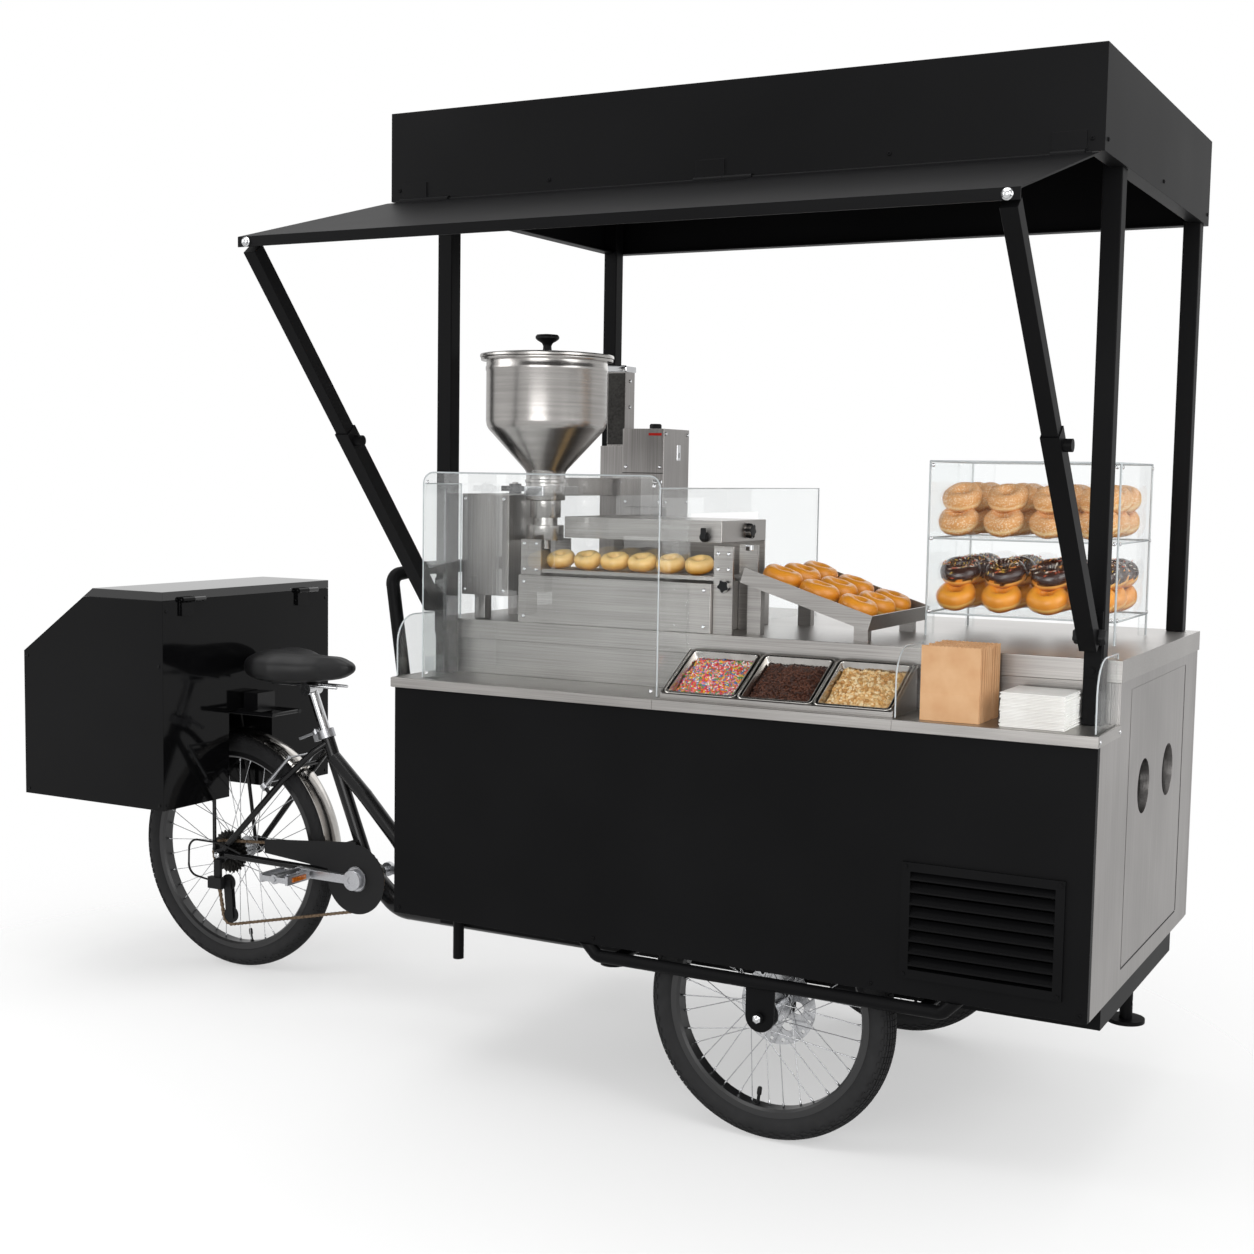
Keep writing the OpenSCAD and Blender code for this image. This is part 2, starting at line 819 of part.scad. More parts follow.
module canopy() {
  lip = 30;
  color("#161617") place() {
    difference() {
      box([canopy_x0, canopy_front, canopy_bottom], [canopy_x1, canopy_back, canopy_top]);
      box(
        [canopy_x0 + canopy_wall, canopy_front + canopy_wall, canopy_bottom + canopy_wall],
        [canopy_x1 - canopy_wall, canopy_back - canopy_wall, canopy_top - roof_t]
      );
      box(
        [canopy_x0 + lip, canopy_front + lip, canopy_bottom - 1],
        [canopy_x1 - lip, canopy_back - lip, canopy_bottom + canopy_wall + 1]
      );
      for (x = [post_left, post_right], y = [post_front_y, post_back_y]) {
        translate([x, y, canopy_bottom]) cube([post_w, post_w, 3 * canopy_wall], center = true);
      }
    }
    for (x = knuckle_places) {
      difference() {
        union() {
          rod_x(hinge_y, hinge_z, knuckle_r, x, x + knuckle_l);
          box([x, hinge_y, hinge_z], [x + knuckle_l, canopy_front, hinge_z + knuckle_r]);
          box([x, canopy_front - sheet_t, hinge_z], [x + knuckle_l, canopy_front, hinge_z + 40]);
        }
        rod_x(hinge_y, hinge_z, hinge_pin_r + fit, x - 1, x + knuckle_l + 1);
      }
    }
  }
}

// Height of the open flap's upper (side 1) or lower (side -1) face at y
function flap_z(y, side) = hinge_z + (y - hinge_y) * tan(flap_slope) + side * sheet_t / 2 / cos(flap_slope);

// Awning flap with a folded lip, and the hinge pin through its own knuckles
module awning_flap() {
  start_y = hinge_y - knuckle_r - 2;
  lip_y = flap_edge_y - flap_lip_t;
  leaf_l = 40;
  leaf_t = sheet_t + 1;
  color("#161617") place() {
    profile_x(flap_x0, flap_x1) polygon([
      [start_y, flap_z(start_y, 1)],
      [lip_y, flap_z(lip_y, 1)],
      [lip_y, flap_edge_z - flap_lip],
      [flap_edge_y, flap_edge_z - flap_lip],
      [flap_edge_y, flap_z(flap_edge_y, -1)],
      [start_y, flap_z(start_y, -1)]
    ]);
    rod_x(hinge_y, hinge_z, hinge_pin_r, canopy_x0 + 20, canopy_x1 - 20);
    for (i = [0, 1]) {
      x = knuckle_places[i] + knuckle_l + run_gap;
      rod_x(hinge_y, hinge_z, knuckle_r, x, x + knuckle_l);
      translate([x, hinge_y, hinge_z]) rotate([flap_slope, 0, 0]) {
        box([0, -knuckle_r - leaf_l, -leaf_t / 2], [knuckle_l, 0, leaf_t / 2]);
      }
    }
  }
}

// Frame of a strut: x of its middle, Z along the strut from its foot
module strut_frame(x) {
  translate([x, foot_y, foot_z]) rotate([90 - strut_angle, 0, 0]) children();
}

// Fixed strut tubes with a foot bracket on each front post, and clamp knobs
module struts() {
  w = strut_w / 2;
  plate_t = 6;
  plate_half = 60;
  face_y = post_front_y - post_w / 2;
  color("#151516") place() for (x = [post_left, post_right]) {
    strut_frame(x) {
      difference() {
        box([-w, -w, 0], [w, w, sleeve_l]);
        box([-w + strut_wall, -w + strut_wall, 8], [w - strut_wall, w - strut_wall, sleeve_l + 1]);
      }
      translate([w, 0, sleeve_l - 28]) rotate([0, 90, 0]) cylinder(r = 11, h = 15);
    }
    box([x - w, face_y - plate_t, foot_z - plate_half], [x + w, face_y, foot_z + plate_half]);
    for (z = [foot_z - plate_half + 12, foot_z + plate_half - 12]) {
      rod_y(x, z, 6, face_y - plate_t - 5, face_y - plate_t);
    }
    box([x - w / 2, foot_y + 6, foot_z - 12], [x + w / 2, face_y - plate_t, foot_z + 12]);
  }
}

// Sliding upper tubes of the struts
module strut_slides() {
  w = slide_w / 2;
  color("#1d1d1f") place() for (x = [post_left, post_right]) {
    strut_frame(x) difference() {
      box([-w, -w, sleeve_l - slide_overlap], [w, w, strut_l - strut_tip_gap]);
      box([-w + 2, -w + 2, sleeve_l - slide_overlap - 1], [w - 2, w - 2, strut_l - strut_tip_gap - 3]);
    }
  }
}

// Low side sheet with a curved front edge
module low_guard(x) {
  curve = 60;
  y0 = front_y + 2;
  y1 = counter_front - 4;
  top = ledge_top + low_guard_h;
  profile_x(x, x + clear_t) difference() {
    union() {
      translate([y0, ledge_top]) square([y1 - y0, low_guard_h - curve]);
      translate([y0 + curve, ledge_top]) square([y1 - y0 - curve, low_guard_h]);
      translate([y0 + curve, top - curve]) circle(r = curve);
    }
    translate([y0 - 1, ledge_top - 2 * curve]) square([2 * curve, 2 * curve]);
  }
}

module guards() {
  x1 = guard_x0 + guard_len;
  corner = 24;
  sheet_y1 = guard_y + clear_t;
  side_y0 = sheet_y1 + seat_gap;
  block_x0 = guard_x0 + clear_t + seat_gap;
  notch_top = hood_z + hood_h + 16;
  notch_back = hood_y1 + 40;
  guard_back = post_back_y - post_w / 2 - 10;
  color("#dfe8ea", 0.35) place() {
    profile_y(guard_y, sheet_y1) {
      translate([guard_x0, ledge_top]) square([guard_len, guard_h - corner]);
      translate([guard_x0 + corner, ledge_top]) square([guard_len - 2 * corner, guard_h]);
      for (x = [guard_x0 + corner, x1 - corner]) {
        translate([x, guard_top - corner]) circle(r = corner);
      }
    }
    profile_x(x1 - clear_t, x1) polygon([
      [side_y0, ledge_top],
      [counter_front - 4, ledge_top],
      [counter_front - 4, notch_top],
      [notch_back, notch_top],
      [notch_back, counter_top],
      [guard_back, counter_top],
      [guard_back, guard_top - corner],
      [side_y0, guard_top - corner]
    ]);
    for (x = [end_lip, divider_x, cart_l - clear_t - end_lip]) {
      low_guard(x);
    }
    box([guard_x0, side_y0, ledge_top], [guard_x0 + clear_t, counter_front - 4, guard_top - corner]);
    box([block_x0, side_y0, ledge_top], [guard_x0 + 34, side_y0 + 30, ledge_top + 46]);
  }
}

// Frame of the tilted pans: X along the cart, Y up the slope, Z out of the pans
module pan_frame() {
  translate([pan_x0, pan_front_y, pan_front_z]) rotate([pan_tilt, 0, 0]) children();
}

// Wedge stand: two side plates with a bearer under the pans' front and back rims
module pan_stand() {
  slope_y = pan_l * cos(pan_tilt);
  slope_z = pan_l * sin(pan_tilt);
  width = pan_count * pan_pitch;
  bearer_t = 5;
  for (x = [pan_x0 - sheet_t, pan_x0 + width]) {
    profile_x(x, x + sheet_t) polygon([
      [pan_front_y, ledge_top],
      [pan_front_y + slope_y, ledge_top],
      [pan_front_y + slope_y, pan_front_z + slope_z],
      [pan_front_y, pan_front_z]
    ]);
  }
  pan_frame() for (y = [1, pan_l - bearer_t - 1]) {
    box([0, y, -pan_wall - bearer_t], [width, y + bearer_t, -pan_wall]);
  }
}

// Topping pans with a flat rim, hung in their stand
module topping_pans() {
  color("#d4d3cf") place() {
    pan_stand();
    pan_frame() for (i = [0 : pan_count - 1]) {
      translate([i * pan_pitch + 1, 0, 0]) difference() {
        union() {
          box([0, 0, -pan_wall + seat_gap], [pan_wide, pan_l, 0]);
          box([pan_rim, pan_rim, -pan_depth], [pan_wide - pan_rim, pan_l - pan_rim, 0]);
        }
        box(
          [pan_rim + pan_wall, pan_rim + pan_wall, -pan_depth + pan_wall],
          [pan_wide - pan_rim - pan_wall, pan_l - pan_rim - pan_wall, 1]
        );
      }
    }
  }
}

// Heaped toppings, one block in each pan
module toppings() {
  gap = seat_gap;
  in = pan_rim + pan_wall + gap;
  color("#8a5a34") place() pan_frame() for (i = [0 : pan_count - 1]) {
    translate([i * pan_pitch + 1, 0, 0]) {
      box([in, in, -pan_depth + pan_wall + gap], [pan_wide - in, pan_l - in, -pan_rim]);
    }
  }
}

// Upright stack of folded paper bags
module paper_bags() {
  pitch = (ledge_depth - 28) / bag_count;
  color("#c08a52") place() for (i = [0 : bag_count - 1]) {
    y = goods_front + i * pitch;
    box([bags_x0, y, ledge_top], [bags_x0 + bag_w, y + pitch - 2, ledge_top + bag_h - (i % 3) * 2]);
    lap = i < bag_count - 1 ? 1 : 0;
    box([bags_x0 + 4, y + pitch - 2, ledge_top], [bags_x0 + bag_w - 4, y + pitch + lap, ledge_top + 30]);
  }
}

module napkins() {
  t = 63 / napkin_count;
  color("#f4f3f0") place() for (i = [0 : napkin_count - 1]) {
    shift = (i % 2) * 2;
    box(
      [napkin_x0 + shift, goods_front + shift, ledge_top + i * t],
      [napkin_x0 + napkin_w + shift, goods_front + ledge_depth - 34 + shift, ledge_top + (i + 1) * t]
    );
  }
}

// Hopper bowl on its depositor neck, with the nozzle below
module hopper() {
  w = hopper_wall;
  color("#c8c6c1") place() translate([hopper_mid, machine_y, 0]) {
    difference() {
      union() {
        translate([0, 0, cone_top]) cylinder(r = hopper_r, h = hopper_drum_h);
        translate([0, 0, neck_top]) cylinder(r1 = neck_r, r2 = hopper_r, h = hopper_cone_h);
        translate([0, 0, hopper_rim_z - 6]) cylinder(r = hopper_r + 12, h = 6);
      }
      translate([0, 0, cone_top]) cylinder(r = hopper_r - w, h = hopper_drum_h + 1);
      translate([0, 0, neck_top + 8]) cylinder(r1 = neck_r - w, r2 = hopper_r - w, h = hopper_cone_h - 8);
    }
    translate([0, 0, neck_top - 62]) cylinder(r = neck_r, h = 62);
    translate([0, 0, neck_top - 100]) cylinder(r = neck_r - 9, h = 38);
    translate([0, 0, neck_top - 116]) cylinder(r = neck_r - 16, h = 16);
    translate([0, 0, nozzle_bottom + 10]) cylinder(r = neck_r - 2, h = 34);
    translate([0, 0, nozzle_bottom - 10]) cylinder(r = 13, h = 20);
  }
}

// Lift-off lid with a mushroom knob
module hopper_lid() {
  z = hopper_rim_z + seat_gap;
  color("#cfcdc8") place() translate([hopper_mid, machine_y, z]) {
    cylinder(r = hopper_r + 14, h = 8);
    translate([0, 0, 8]) cylinder(r = 9, h = 26);
    translate([0, 0, 34]) cylinder(r = 26, h = 12);
  }
}

// Gear case that stands on two legs
module drive_box() {
  x1 = drive_x0 + drive_w;
  color("#b4b1ac") place() {
    box([drive_x0, drive_y0, drive_z0], [x1, drive_y0 + drive_depth, drive_z0 + drive_h]);
    for (y = [drive_y0 + 12, drive_y0 + drive_depth - 40]) {
      box([drive_x0 + 26, y, counter_top], [drive_x0 + 54, y + 28, drive_z0]);
    }
    translate([lever_x, lever_y, drive_z0 + drive_h]) cylinder(r = stud_r, h = 26);
  }
}

// Hand lever on the gear case's stud
module drive_lever() {
  z = drive_z0 + drive_h + run_gap;
  color("#1b1b1d") place() translate([lever_x, lever_y, z]) difference() {
    union() {
      cylinder(r = 2 * stud_r, h = 22);
      box([-34, -6, 5], [lever_l, 6, 17]);
    }
    translate([0, 0, -1]) cylinder(r = stud_r + fit, h = 26);
  }
}

// Control tower behind the hood, with its column and the depositor's bracket
module control_tower() {
  x1 = tower_x0 + tower_w;
  split = tower_x0 + 70 * along;
  y1 = tower_y0 + tower_depth;
  bracket_z = neck_top - 52;
  color("#bdbab5") place() {
    box([tower_x0, tower_y0, counter_top], [x1, y1, tower_top - 40]);
    box([split, tower_y0 - 20, tower_top - 180], [x1, tower_y0, tower_top]);
    box([split, tower_y0, tower_top - 40], [x1, y1, tower_top]);
    box([tower_x0 + 6, tower_y0 + 20, tower_top - 40], [tower_x0 + 54, tower_y0 + 66, hopper_rim_z + 4]);
    difference() {
      box([hopper_mid - 24, machine_y, bracket_z], [hopper_mid + 24, tower_y0, bracket_z + 40]);
      translate([hopper_mid, machine_y, bracket_z - 1]) cylinder(r = neck_r, h = 42);
    }
  }
}

// Open tank of the fryer
module fryer_tank() {
  color("#bebbb6") place() difference() {
    box([fryer_x0, machine_front, counter_top], [fryer_x1, machine_front + fryer_depth, fryer_top]);
    box(
      [fryer_x0 + tank_wall, machine_front + tank_wall, counter_top + 20],
      [fryer_x1 - tank_wall, machine_front + fryer_depth - tank_wall, fryer_top + 1]
    );
  }
}

// Heater hood over the conveyor, on a back plate that stands on the tank
module fryer_hood() {
  x1 = hood_x0 + hood_len;
  color("#c2bfba") place() {
    box([hood_x0, hood_y0, hood_z], [x1, hood_y1, hood_z + hood_h]);
    box([hood_x0, hood_y1 - tank_wall, fryer_top], [x1, hood_y1, hood_z]);
    rod_x(hood_y0 + 130, hood_z + hood_h / 2, 15, x1, x1 + 12);
    rod_y(x1 - 36, hood_z + hood_h / 4, 9, hood_y0 - 14, hood_y0);
  }
}

// Conveyor: side bars, cross bars, cheek plates at the hopper end, end plates at the tray end
module conveyor() {
  x0 = fryer_x0 + 6;
  x1 = fryer_x1 + 44;
  half = 52;
  side_w = 8;
  slat_r = 3;
  bars = 13;
  pitch = (fryer_len - 40) / bars;
  color("#a9a6a1") place() translate([0, machine_y, 0]) {
    for (y = [-half - side_w, half]) {
      box([x0, y, belt_z - side_w], [x1, y + side_w, belt_z]);
    }
    for (i = [0 : bars]) {
      rod_y(x0 + 16 + i * pitch, belt_z - slat_r, slat_r, -half, half);
    }
    for (y = [-half - side_w - cheek_t, half + side_w]) {
      box([fryer_x0, y, fryer_top], [fryer_x0 + 50, y + cheek_t, hood_z - 4]);
      box([fryer_x1 + 1, y, counter_top], [x1, y + cheek_t, hood_z - 4]);
    }
    rod_y(fryer_x1 + 26, fryer_top - 4, 13, -half - side_w - cheek_t - 9, -half - side_w - cheek_t);
  }
}

// Frame of the sloping tray: X down the slope from the fryer's end
module tray_frame() {
  translate([tray_x0, tray_y0, tray_z0]) rotate([0, tray_slope, 0]) children();
}

// Drain tray with a raised rim and rows of drain holes
module drain_tray() {
  t = 2;
  leg_w = 30;
  leg_t = 20;
  far_leg = tray_len * cos(tray_slope) - leg_w - 10;
  color("#c6c4bf") place() {
    tray_frame() difference() {
      box([0, 0, 0], [tray_len, tray_depth, tray_rim]);
      box([-1, t, t], [tray_len - t, tray_depth - t, tray_rim + 1]);
      for (x = [30 : 40 : tray_len - 30], y = [30 : 40 : tray_depth - 30]) {
        translate([x, y, -1]) cylinder(r = 7, h = t + 2);
      }
    }
    for (y = [tray_y0 + 30, tray_y0 + tray_depth - 30 - leg_t], x = [4, far_leg]) {
      profile_y(y, y + leg_t) polygon([
        [tray_x0 + x, counter_top],
        [tray_x0 + x + leg_w, counter_top],
        [tray_x0 + x + leg_w, tray_z0 - (x + leg_w) * tan(tray_slope)],
        [tray_x0 + x, tray_z0 - x * tan(tray_slope)]
      ]);
    }
  }
}

fry_count = 6;

// Glazed doughnuts on the conveyor, on the drain tray and on the case's lower shelf
module glazed_doughnuts() {
  fry_pitch = (fryer_len - 60) / fry_count;
  color("#d9963f") place() {
    for (i = [0 : fry_count - 1]) {
      translate([fryer_x0 + 66 + i * fry_pitch, machine_y, belt_z + seat_gap]) fry_doughnut(fry_pitch);
    }
    tray_frame() for (i = [0 : 2], j = [0 : 2]) {
      translate([(56 + i * 89) * along, 76 + j * 100 - i * 6, 2 + seat_gap]) scale(bake) doughnut();
    }
    case_layer(shelf_low, 0);
  }
}

// Doughnut on the conveyor, sized to the conveyor's pitch
module fry_doughnut(pitch) {
  size = (pitch - 3) / (2 * doughnut_r);
  scale(size) doughnut();
}

// One layer of doughnuts on a shelf of the display case
module case_layer(shelf_z, layer) {
  pitch_x = (case_len - 2 * clear_t) / case_cols;
  pitch_y = (case_depth - 2 * clear_t) / case_rows;
  z = shelf_z + clear_t + seat_gap + layer * (2 * dough_r * bake + seat_gap);
  for (i = [0 : case_cols - 1], j = [0 : case_rows - 1]) {
    x = case_x0 + clear_t + (i + 0.5) * pitch_x;
    y = case_y0 + clear_t + (j + 0.5) * pitch_y;
    translate([x, y, z]) scale(bake) doughnut();
  }
}

module sugared_doughnuts() {
  color("#dda869") place() {
    case_layer(shelf_mid, 0);
    case_layer(shelf_mid, 1);
  }
}

module iced_doughnuts() {
  color("#3d2117") place() case_layer(shelf_low, 1);
}

// Clear display case with two shelves, on corner feet
module display_case() {
  t = clear_t;
  color("#e4ecee", 0.35) place() {
    box([case_x0, case_y0, shelf_low], [case_x0 + t, case_y1, case_top]);
    box([case_x1 - t, case_y0, shelf_low], [case_x1, case_y1, case_top]);
    box([case_x0 + t, case_y0, shelf_low], [case_x1 - t, case_y0 + t, case_top - t]);
    for (z = [shelf_low, shelf_mid, case_top - t]) {
      y0 = z == case_top - t ? case_y0 : case_y0 + t;
      box([case_x0 + t, y0, z], [case_x1 - t, case_y1, z + t]);
    }
    for (x = [case_x0, case_x1 - 16], y = [case_y0, case_y1 - 16]) {
      box([x, y, counter_top], [x + 16, y + 16, shelf_low]);
    }
  }
}

// Tyre about the Y axis at the origin
module tyre(r, rim_r) {
  rotate([90, 0, 0]) rotate_extrude($fn = 96) {
    difference() {
      translate([r - tyre_r, 0]) circle(r = tyre_r);
      translate([0, -tyre_r]) square([rim_r, tyre_w]);
    }
    translate([rim_r - rim_depth + rim_t, -bead_half]) square([rim_depth - rim_t + 0.1, 2 * bead_half]);
  }
}

// Channel rim about the Y axis at the origin
module rim(rim_r) {
  base = rim_r - rim_depth;
  rotate([90, 0, 0]) rotate_extrude($fn = 96) polygon([
    [base, -rim_half + 5],
    [base, rim_half - 5],
    [base + 5, rim_half],
    [rim_r, rim_half],
    [rim_r, bead_half],
    [base + rim_t, bead_half],
    [base + rim_t, -bead_half],
    [rim_r, -bead_half],
    [rim_r, -rim_half],
    [base + 5, -rim_half]
  ]);
}

// Spokes of one wheel, between hub flanges at y0 and y1 and the rim
module spokes(rim_r, y0, y1) {
  per_side = spoke_count / 2;
  r_in = flange_r + seat_gap + spoke_r;
  r_out = rim_r - rim_depth - seat_gap;
  for (side = [0, 1], i = [0 : per_side - 1]) {
    a = (i + side / 2) * 360 / per_side;
    lean = i % 2 == 0 ? spoke_lean : -spoke_lean;
    y_hub = (side == 0 ? y0 : y1) + (i % 2 == 0 ? spoke_stagger : -spoke_stagger);
    y_rim = side == 0 ? -4 : 4;
    bar(
      [r_in * cos(a + lean), y_hub, r_in * sin(a + lean)],
      [r_out * cos(a), y_rim, r_out * sin(a)],
      spoke_r
    );
  }
}

// Hub about the Y axis, with flanges at y0 and y1 and a bore for the axle
module hub(bore_r, half, y0, y1) {
  t = 3;
  rotate([-90, 0, 0]) rotate_extrude() difference() {
    union() {
      translate([0, -half]) square([hub_shell_r, 2 * half]);
      for (y = [y0, y1]) {
        translate([0, y - t / 2]) square([flange_r, t]);
      }
    }
    translate([-1, -half - 1]) square([1 + bore_r, 2 * half + 2]);
  }
}

// Disc rotor with vent holes, beside the hub
module rotor() {
  t = 2;
  rotate([-90, 0, 0]) translate([0, 0, flange_half + 6]) difference() {
    cylinder(r = rotor_r, h = t);
    translate([0, 0, -1]) cylinder(r = hub_shell_r, h = t + 2);
    for (a = [0 : 60 : 300]) {
      rotate(a) translate([42, 0, -1]) cylinder(r = 13, h = t + 2);
    }
    for (a = [0 : 20 : 340]) {
      rotate(a) translate([rotor_r - 9, 0, -1]) cylinder(r = 4, h = t + 2);
    }
  }
}

// Places a front wheel: side -1 is near, 1 is far
module front_wheel(side) {
  place() translate([front_axle_x, side * wheel_y, front_wheel_r]) children();
}

module front_spokes() {
  spokes(front_rim_r, -flange_half, flange_half);
  hub(axle_r + fit, axle_half - run_gap, -flange_half, flange_half);
  rotor();
}

module near_tyre() {
  color("#1b1b1c") front_wheel(-1) tyre(front_wheel_r, front_rim_r);
}

module near_rim() {
  color("#202022") front_wheel(-1) rim(front_rim_r);
}

module near_spokes() {
  color("#c9cacc") front_wheel(-1) front_spokes();
}

module far_tyre() {
  color("#1b1b1c") front_wheel(1) tyre(front_wheel_r, front_rim_r);
}

module far_rim() {
  color("#202022") front_wheel(1) rim(front_rim_r);
}

module far_spokes() {
  color("#c9cacc") front_wheel(1) mirror([0, 1, 0]) front_spokes();
}

// Places a piece on the rear axle's middle
module rear_wheel() {
  place() translate([rear_x, 0, rear_z]) children();
}

module rear_tyre() {
  color("#1b1b1c") rear_wheel() tyre(rear_wheel_r, rear_rim_r);
}

module rear_rim() {
  color("#202022") rear_wheel() rim(rear_rim_r);
}

rear_flange_near = -18;
rear_flange_far = 34;
hub_end = dropout_y - run_gap;

module rear_spokes() {
  color("#c9cacc") rear_wheel() {
    spokes(rear_rim_r, rear_flange_near, rear_flange_far);
    hub(axle_r + fit, hub_end, rear_flange_near, rear_flange_far);
  }
}

sprocket_count = 6;
sprocket_pitch = 5;
sprocket_step = 5;
sprocket_t = 2;

// Stack of sprockets that turns on the hub shell, smallest outside
module cassette() {
  outer = chain_y + sprocket_t / 2;
  stack = (sprocket_count - 1) * sprocket_pitch + sprocket_t;
  color("#3a3a3c") rear_wheel() rotate([90, 0, 0]) difference() {
    union() {
      for (i = [0 : sprocket_count - 1]) {
        translate([0, 0, outer - sprocket_t - i * sprocket_pitch]) {
          cylinder(r = sprocket_r - 0.5 + i * sprocket_step, h = sprocket_t);
        }
      }
      translate([0, 0, outer - stack]) cylinder(r = freehub_r + 3, h = stack);
    }
    cylinder(r = hub_shell_r + fit, h = 2 * dropout_y);
  }
}

// Frame of the seat tube: Z along the tube from the crank axle
module seat_frame() {
  translate([crank_x, 0, crank_z]) rotate([0, -seat_lean, 0]) children();
}

// Point on the seat tube's line, at a distance above the crank axle
function seat_point(d) = [crank_x - d * sin(seat_lean), 0, crank_z + d * cos(seat_lean)];

// Seat stay: its corner points on the near side, and the brake boss that stands on it
stay_top = seat_point(seat_tube_l - 34);
stay_shoulder = [stay_top[0] - 26, -30, stay_top[2] - 22];
stay_knee = [rear_x + 190, -53, rear_z + 210];
stay_foot = [rear_x + 15, -stay_end_y - 3, rear_z + 15];
stay_dir = unit(stay_foot - stay_knee);
boss_root = stay_knee + 54 * stay_dir;
boss_dir = unit([stay_dir[2], 0, -stay_dir[0]]);
boss_l = 20;
boss_r = 5;

// Chain stay, seat stay, brake boss and dropout on the near side
module rear_stays() {
  bent_tube([
    [crank_x - 8, -26, crank_z],
    [crank_x - 90, -40, crank_z + 3],
    [rear_x + 18, -stay_end_y + 2, rear_z]
  ], stay_r, 60);
  bent_tube([
    [stay_top[0], -12, stay_top[2]],
    stay_shoulder,
    stay_knee,
    stay_foot
  ], stay_r - 1, 40);
  bar(boss_root, boss_root + boss_l * boss_dir, boss_r);
  rod_y(rear_x, rear_z, 24, -dropout_y - dropout_t, -dropout_y);
}

bridge_low_x = rear_x + mudguard_r + 12;
bridge_r = 5;

// Point on the seat stay at the upper bridge's distance from the rear axle
bridge_reach = mudguard_r + 13;
shoulder_off = [stay_shoulder[0] - rear_x, stay_shoulder[2] - rear_z];
stay_run = [stay_knee[0] - stay_shoulder[0], stay_knee[2] - stay_shoulder[2]];
run_sq = stay_run * stay_run;
run_dot = stay_run * shoulder_off;
run_left = shoulder_off * shoulder_off - bridge_reach * bridge_reach;
bridge_share = (-run_dot - sqrt(run_dot * run_dot - run_sq * run_left)) / run_sq;
bridge_high = stay_shoulder + bridge_share * (stay_knee - stay_shoulder);
bridge_high_angle = atan2(bridge_high[2] - rear_z, bridge_high[0] - rear_x);

// Bridges between the stays that the mudguard is bolted to
module stay_bridges() {
  rod_y(bridge_low_x, crank_z + 4, bridge_r, -38, 38);
  rod_y(bridge_high[0], bridge_high[2], bridge_r, bridge_high[1], -bridge_high[1]);
}

module bike_frame() {
  main_top = seat_point(seat_tube_l - 74);
  sleeve_h = sleeve_top - sleeve_bottom;
  color("#141415") place() {
    difference() {
      union() {
        translate([kingpin_x, 0, sleeve_bottom]) cylinder(r = sleeve_r, h = sleeve_h);
        bent_tube([
          [kingpin_x - kingpin_r - 6, 0, beam_z],
          [crank_x + 90, 0, beam_z],
          [crank_x, 0, crank_z]
        ], beam_r, 90);
        rod_y(crank_x, crank_z, shell_r, -shell_half, shell_half);
        seat_frame() cylinder(r = seat_tube_r, h = seat_tube_l);
        bent_tube([
          main_top,
          [crank_x - 20, 0, crank_z + 200],
          [crank_x + 90, 0, crank_z + 90],
          [crank_x + 190, 0, beam_z]
        ], main_tube_r, 150);
        both_sides() rear_stays();
        stay_bridges();
      }
      translate([kingpin_x, 0, sleeve_bottom - 1]) cylinder(r = kingpin_r + fit, h = sleeve_h + 2);
      rod_y(crank_x, crank_z, spindle_r + fit, -2 * shell_half, 2 * shell_half);
      seat_frame() translate([0, 0, seat_tube_l - post_depth - 40]) {
        cylinder(r = seat_post_r + fit, h = post_depth + 41);
      }
    }
    rod_y(rear_x, rear_z, axle_r, -dropout_y - dropout_t - 10, dropout_y + dropout_t + 10);
  }
}

// Crank arm from the crank axle along +X, on the far side of y
module crank_arm(y) {
  rod_y(0, 0, 18, y, y + arm_t);
  rod_y(crank_len, 0, 14, y, y + arm_t);
  box([0, y, -11], [crank_len, y + arm_t, 11]);
}

// Spindle, chainring, both arms and the pedal axles
module crankset() {
  color("#b9babd") place() translate([crank_x, 0, crank_z]) {
    rod_y(0, 0, spindle_r, -arm_y - arm_t, arm_y + arm_t);
    difference() {
      rod_y(0, 0, chainring_r - 0.5, -chain_y - 2, -chain_y + 2);
      for (a = [0 : 72 : 288]) {
        rotate([0, a, 0]) rod_y(50, 0, 15, -chain_y - 3, -chain_y + 3);
      }
    }
    rod_y(0, 0, 30, -arm_y, -chain_y - 2);
    rotate([0, 180, 0]) crank_arm(-arm_y - arm_t);
    crank_arm(arm_y);
    rod_y(-crank_len, 0, pedal_axle_r, -arm_y - arm_t - pedal_l - 6, -arm_y - arm_t);
    rod_y(crank_len, 0, pedal_axle_r, arm_y + arm_t, arm_y + arm_t + pedal_l + 6);
  }
}

// Platform pedal with two side bars and a barrel, on the far side of the crank
module pedal() {
  y0 = arm_y + arm_t + 2;
  y1 = y0 + pedal_l;
  color("#c3c4c7") difference() {
    union() {
      rod_y(0, 0, pedal_axle_r + 6, y0, y1);
      for (x = [-pedal_w / 2, pedal_w / 2 - 8]) {
        box([x, y0 + 6, -pedal_t / 2], [x + 8, y1, pedal_t / 2]);
      }
      for (y = [y0 + 6, (y0 + y1) / 2, y1 - 8]) {
        box([-pedal_w / 2, y, -pedal_t / 2 + 4], [pedal_w / 2, y + 8, pedal_t / 2 - 4]);
      }
    }
    rod_y(0, 0, pedal_axle_r + fit, y0 - 1, y1 + 1);
  }
}

module near_pedal() {
  place() translate([crank_x - crank_len, 0, crank_z]) mirror([0, 1, 0]) pedal();
}

module far_pedal() {
  place() translate([crank_x + crank_len, 0, crank_z]) pedal();
}

// Outline of the chain's path, grown by a margin
module chain_path(grow) {
  hull() {
    translate([crank_x, crank_z]) circle(r = chainring_r + grow, $fn = 48);
    translate([rear_x, rear_z]) circle(r = sprocket_r + grow, $fn = 32);
    translate(jockey_low) circle(r = jockey_r + grow, $fn = 32);
  }
}

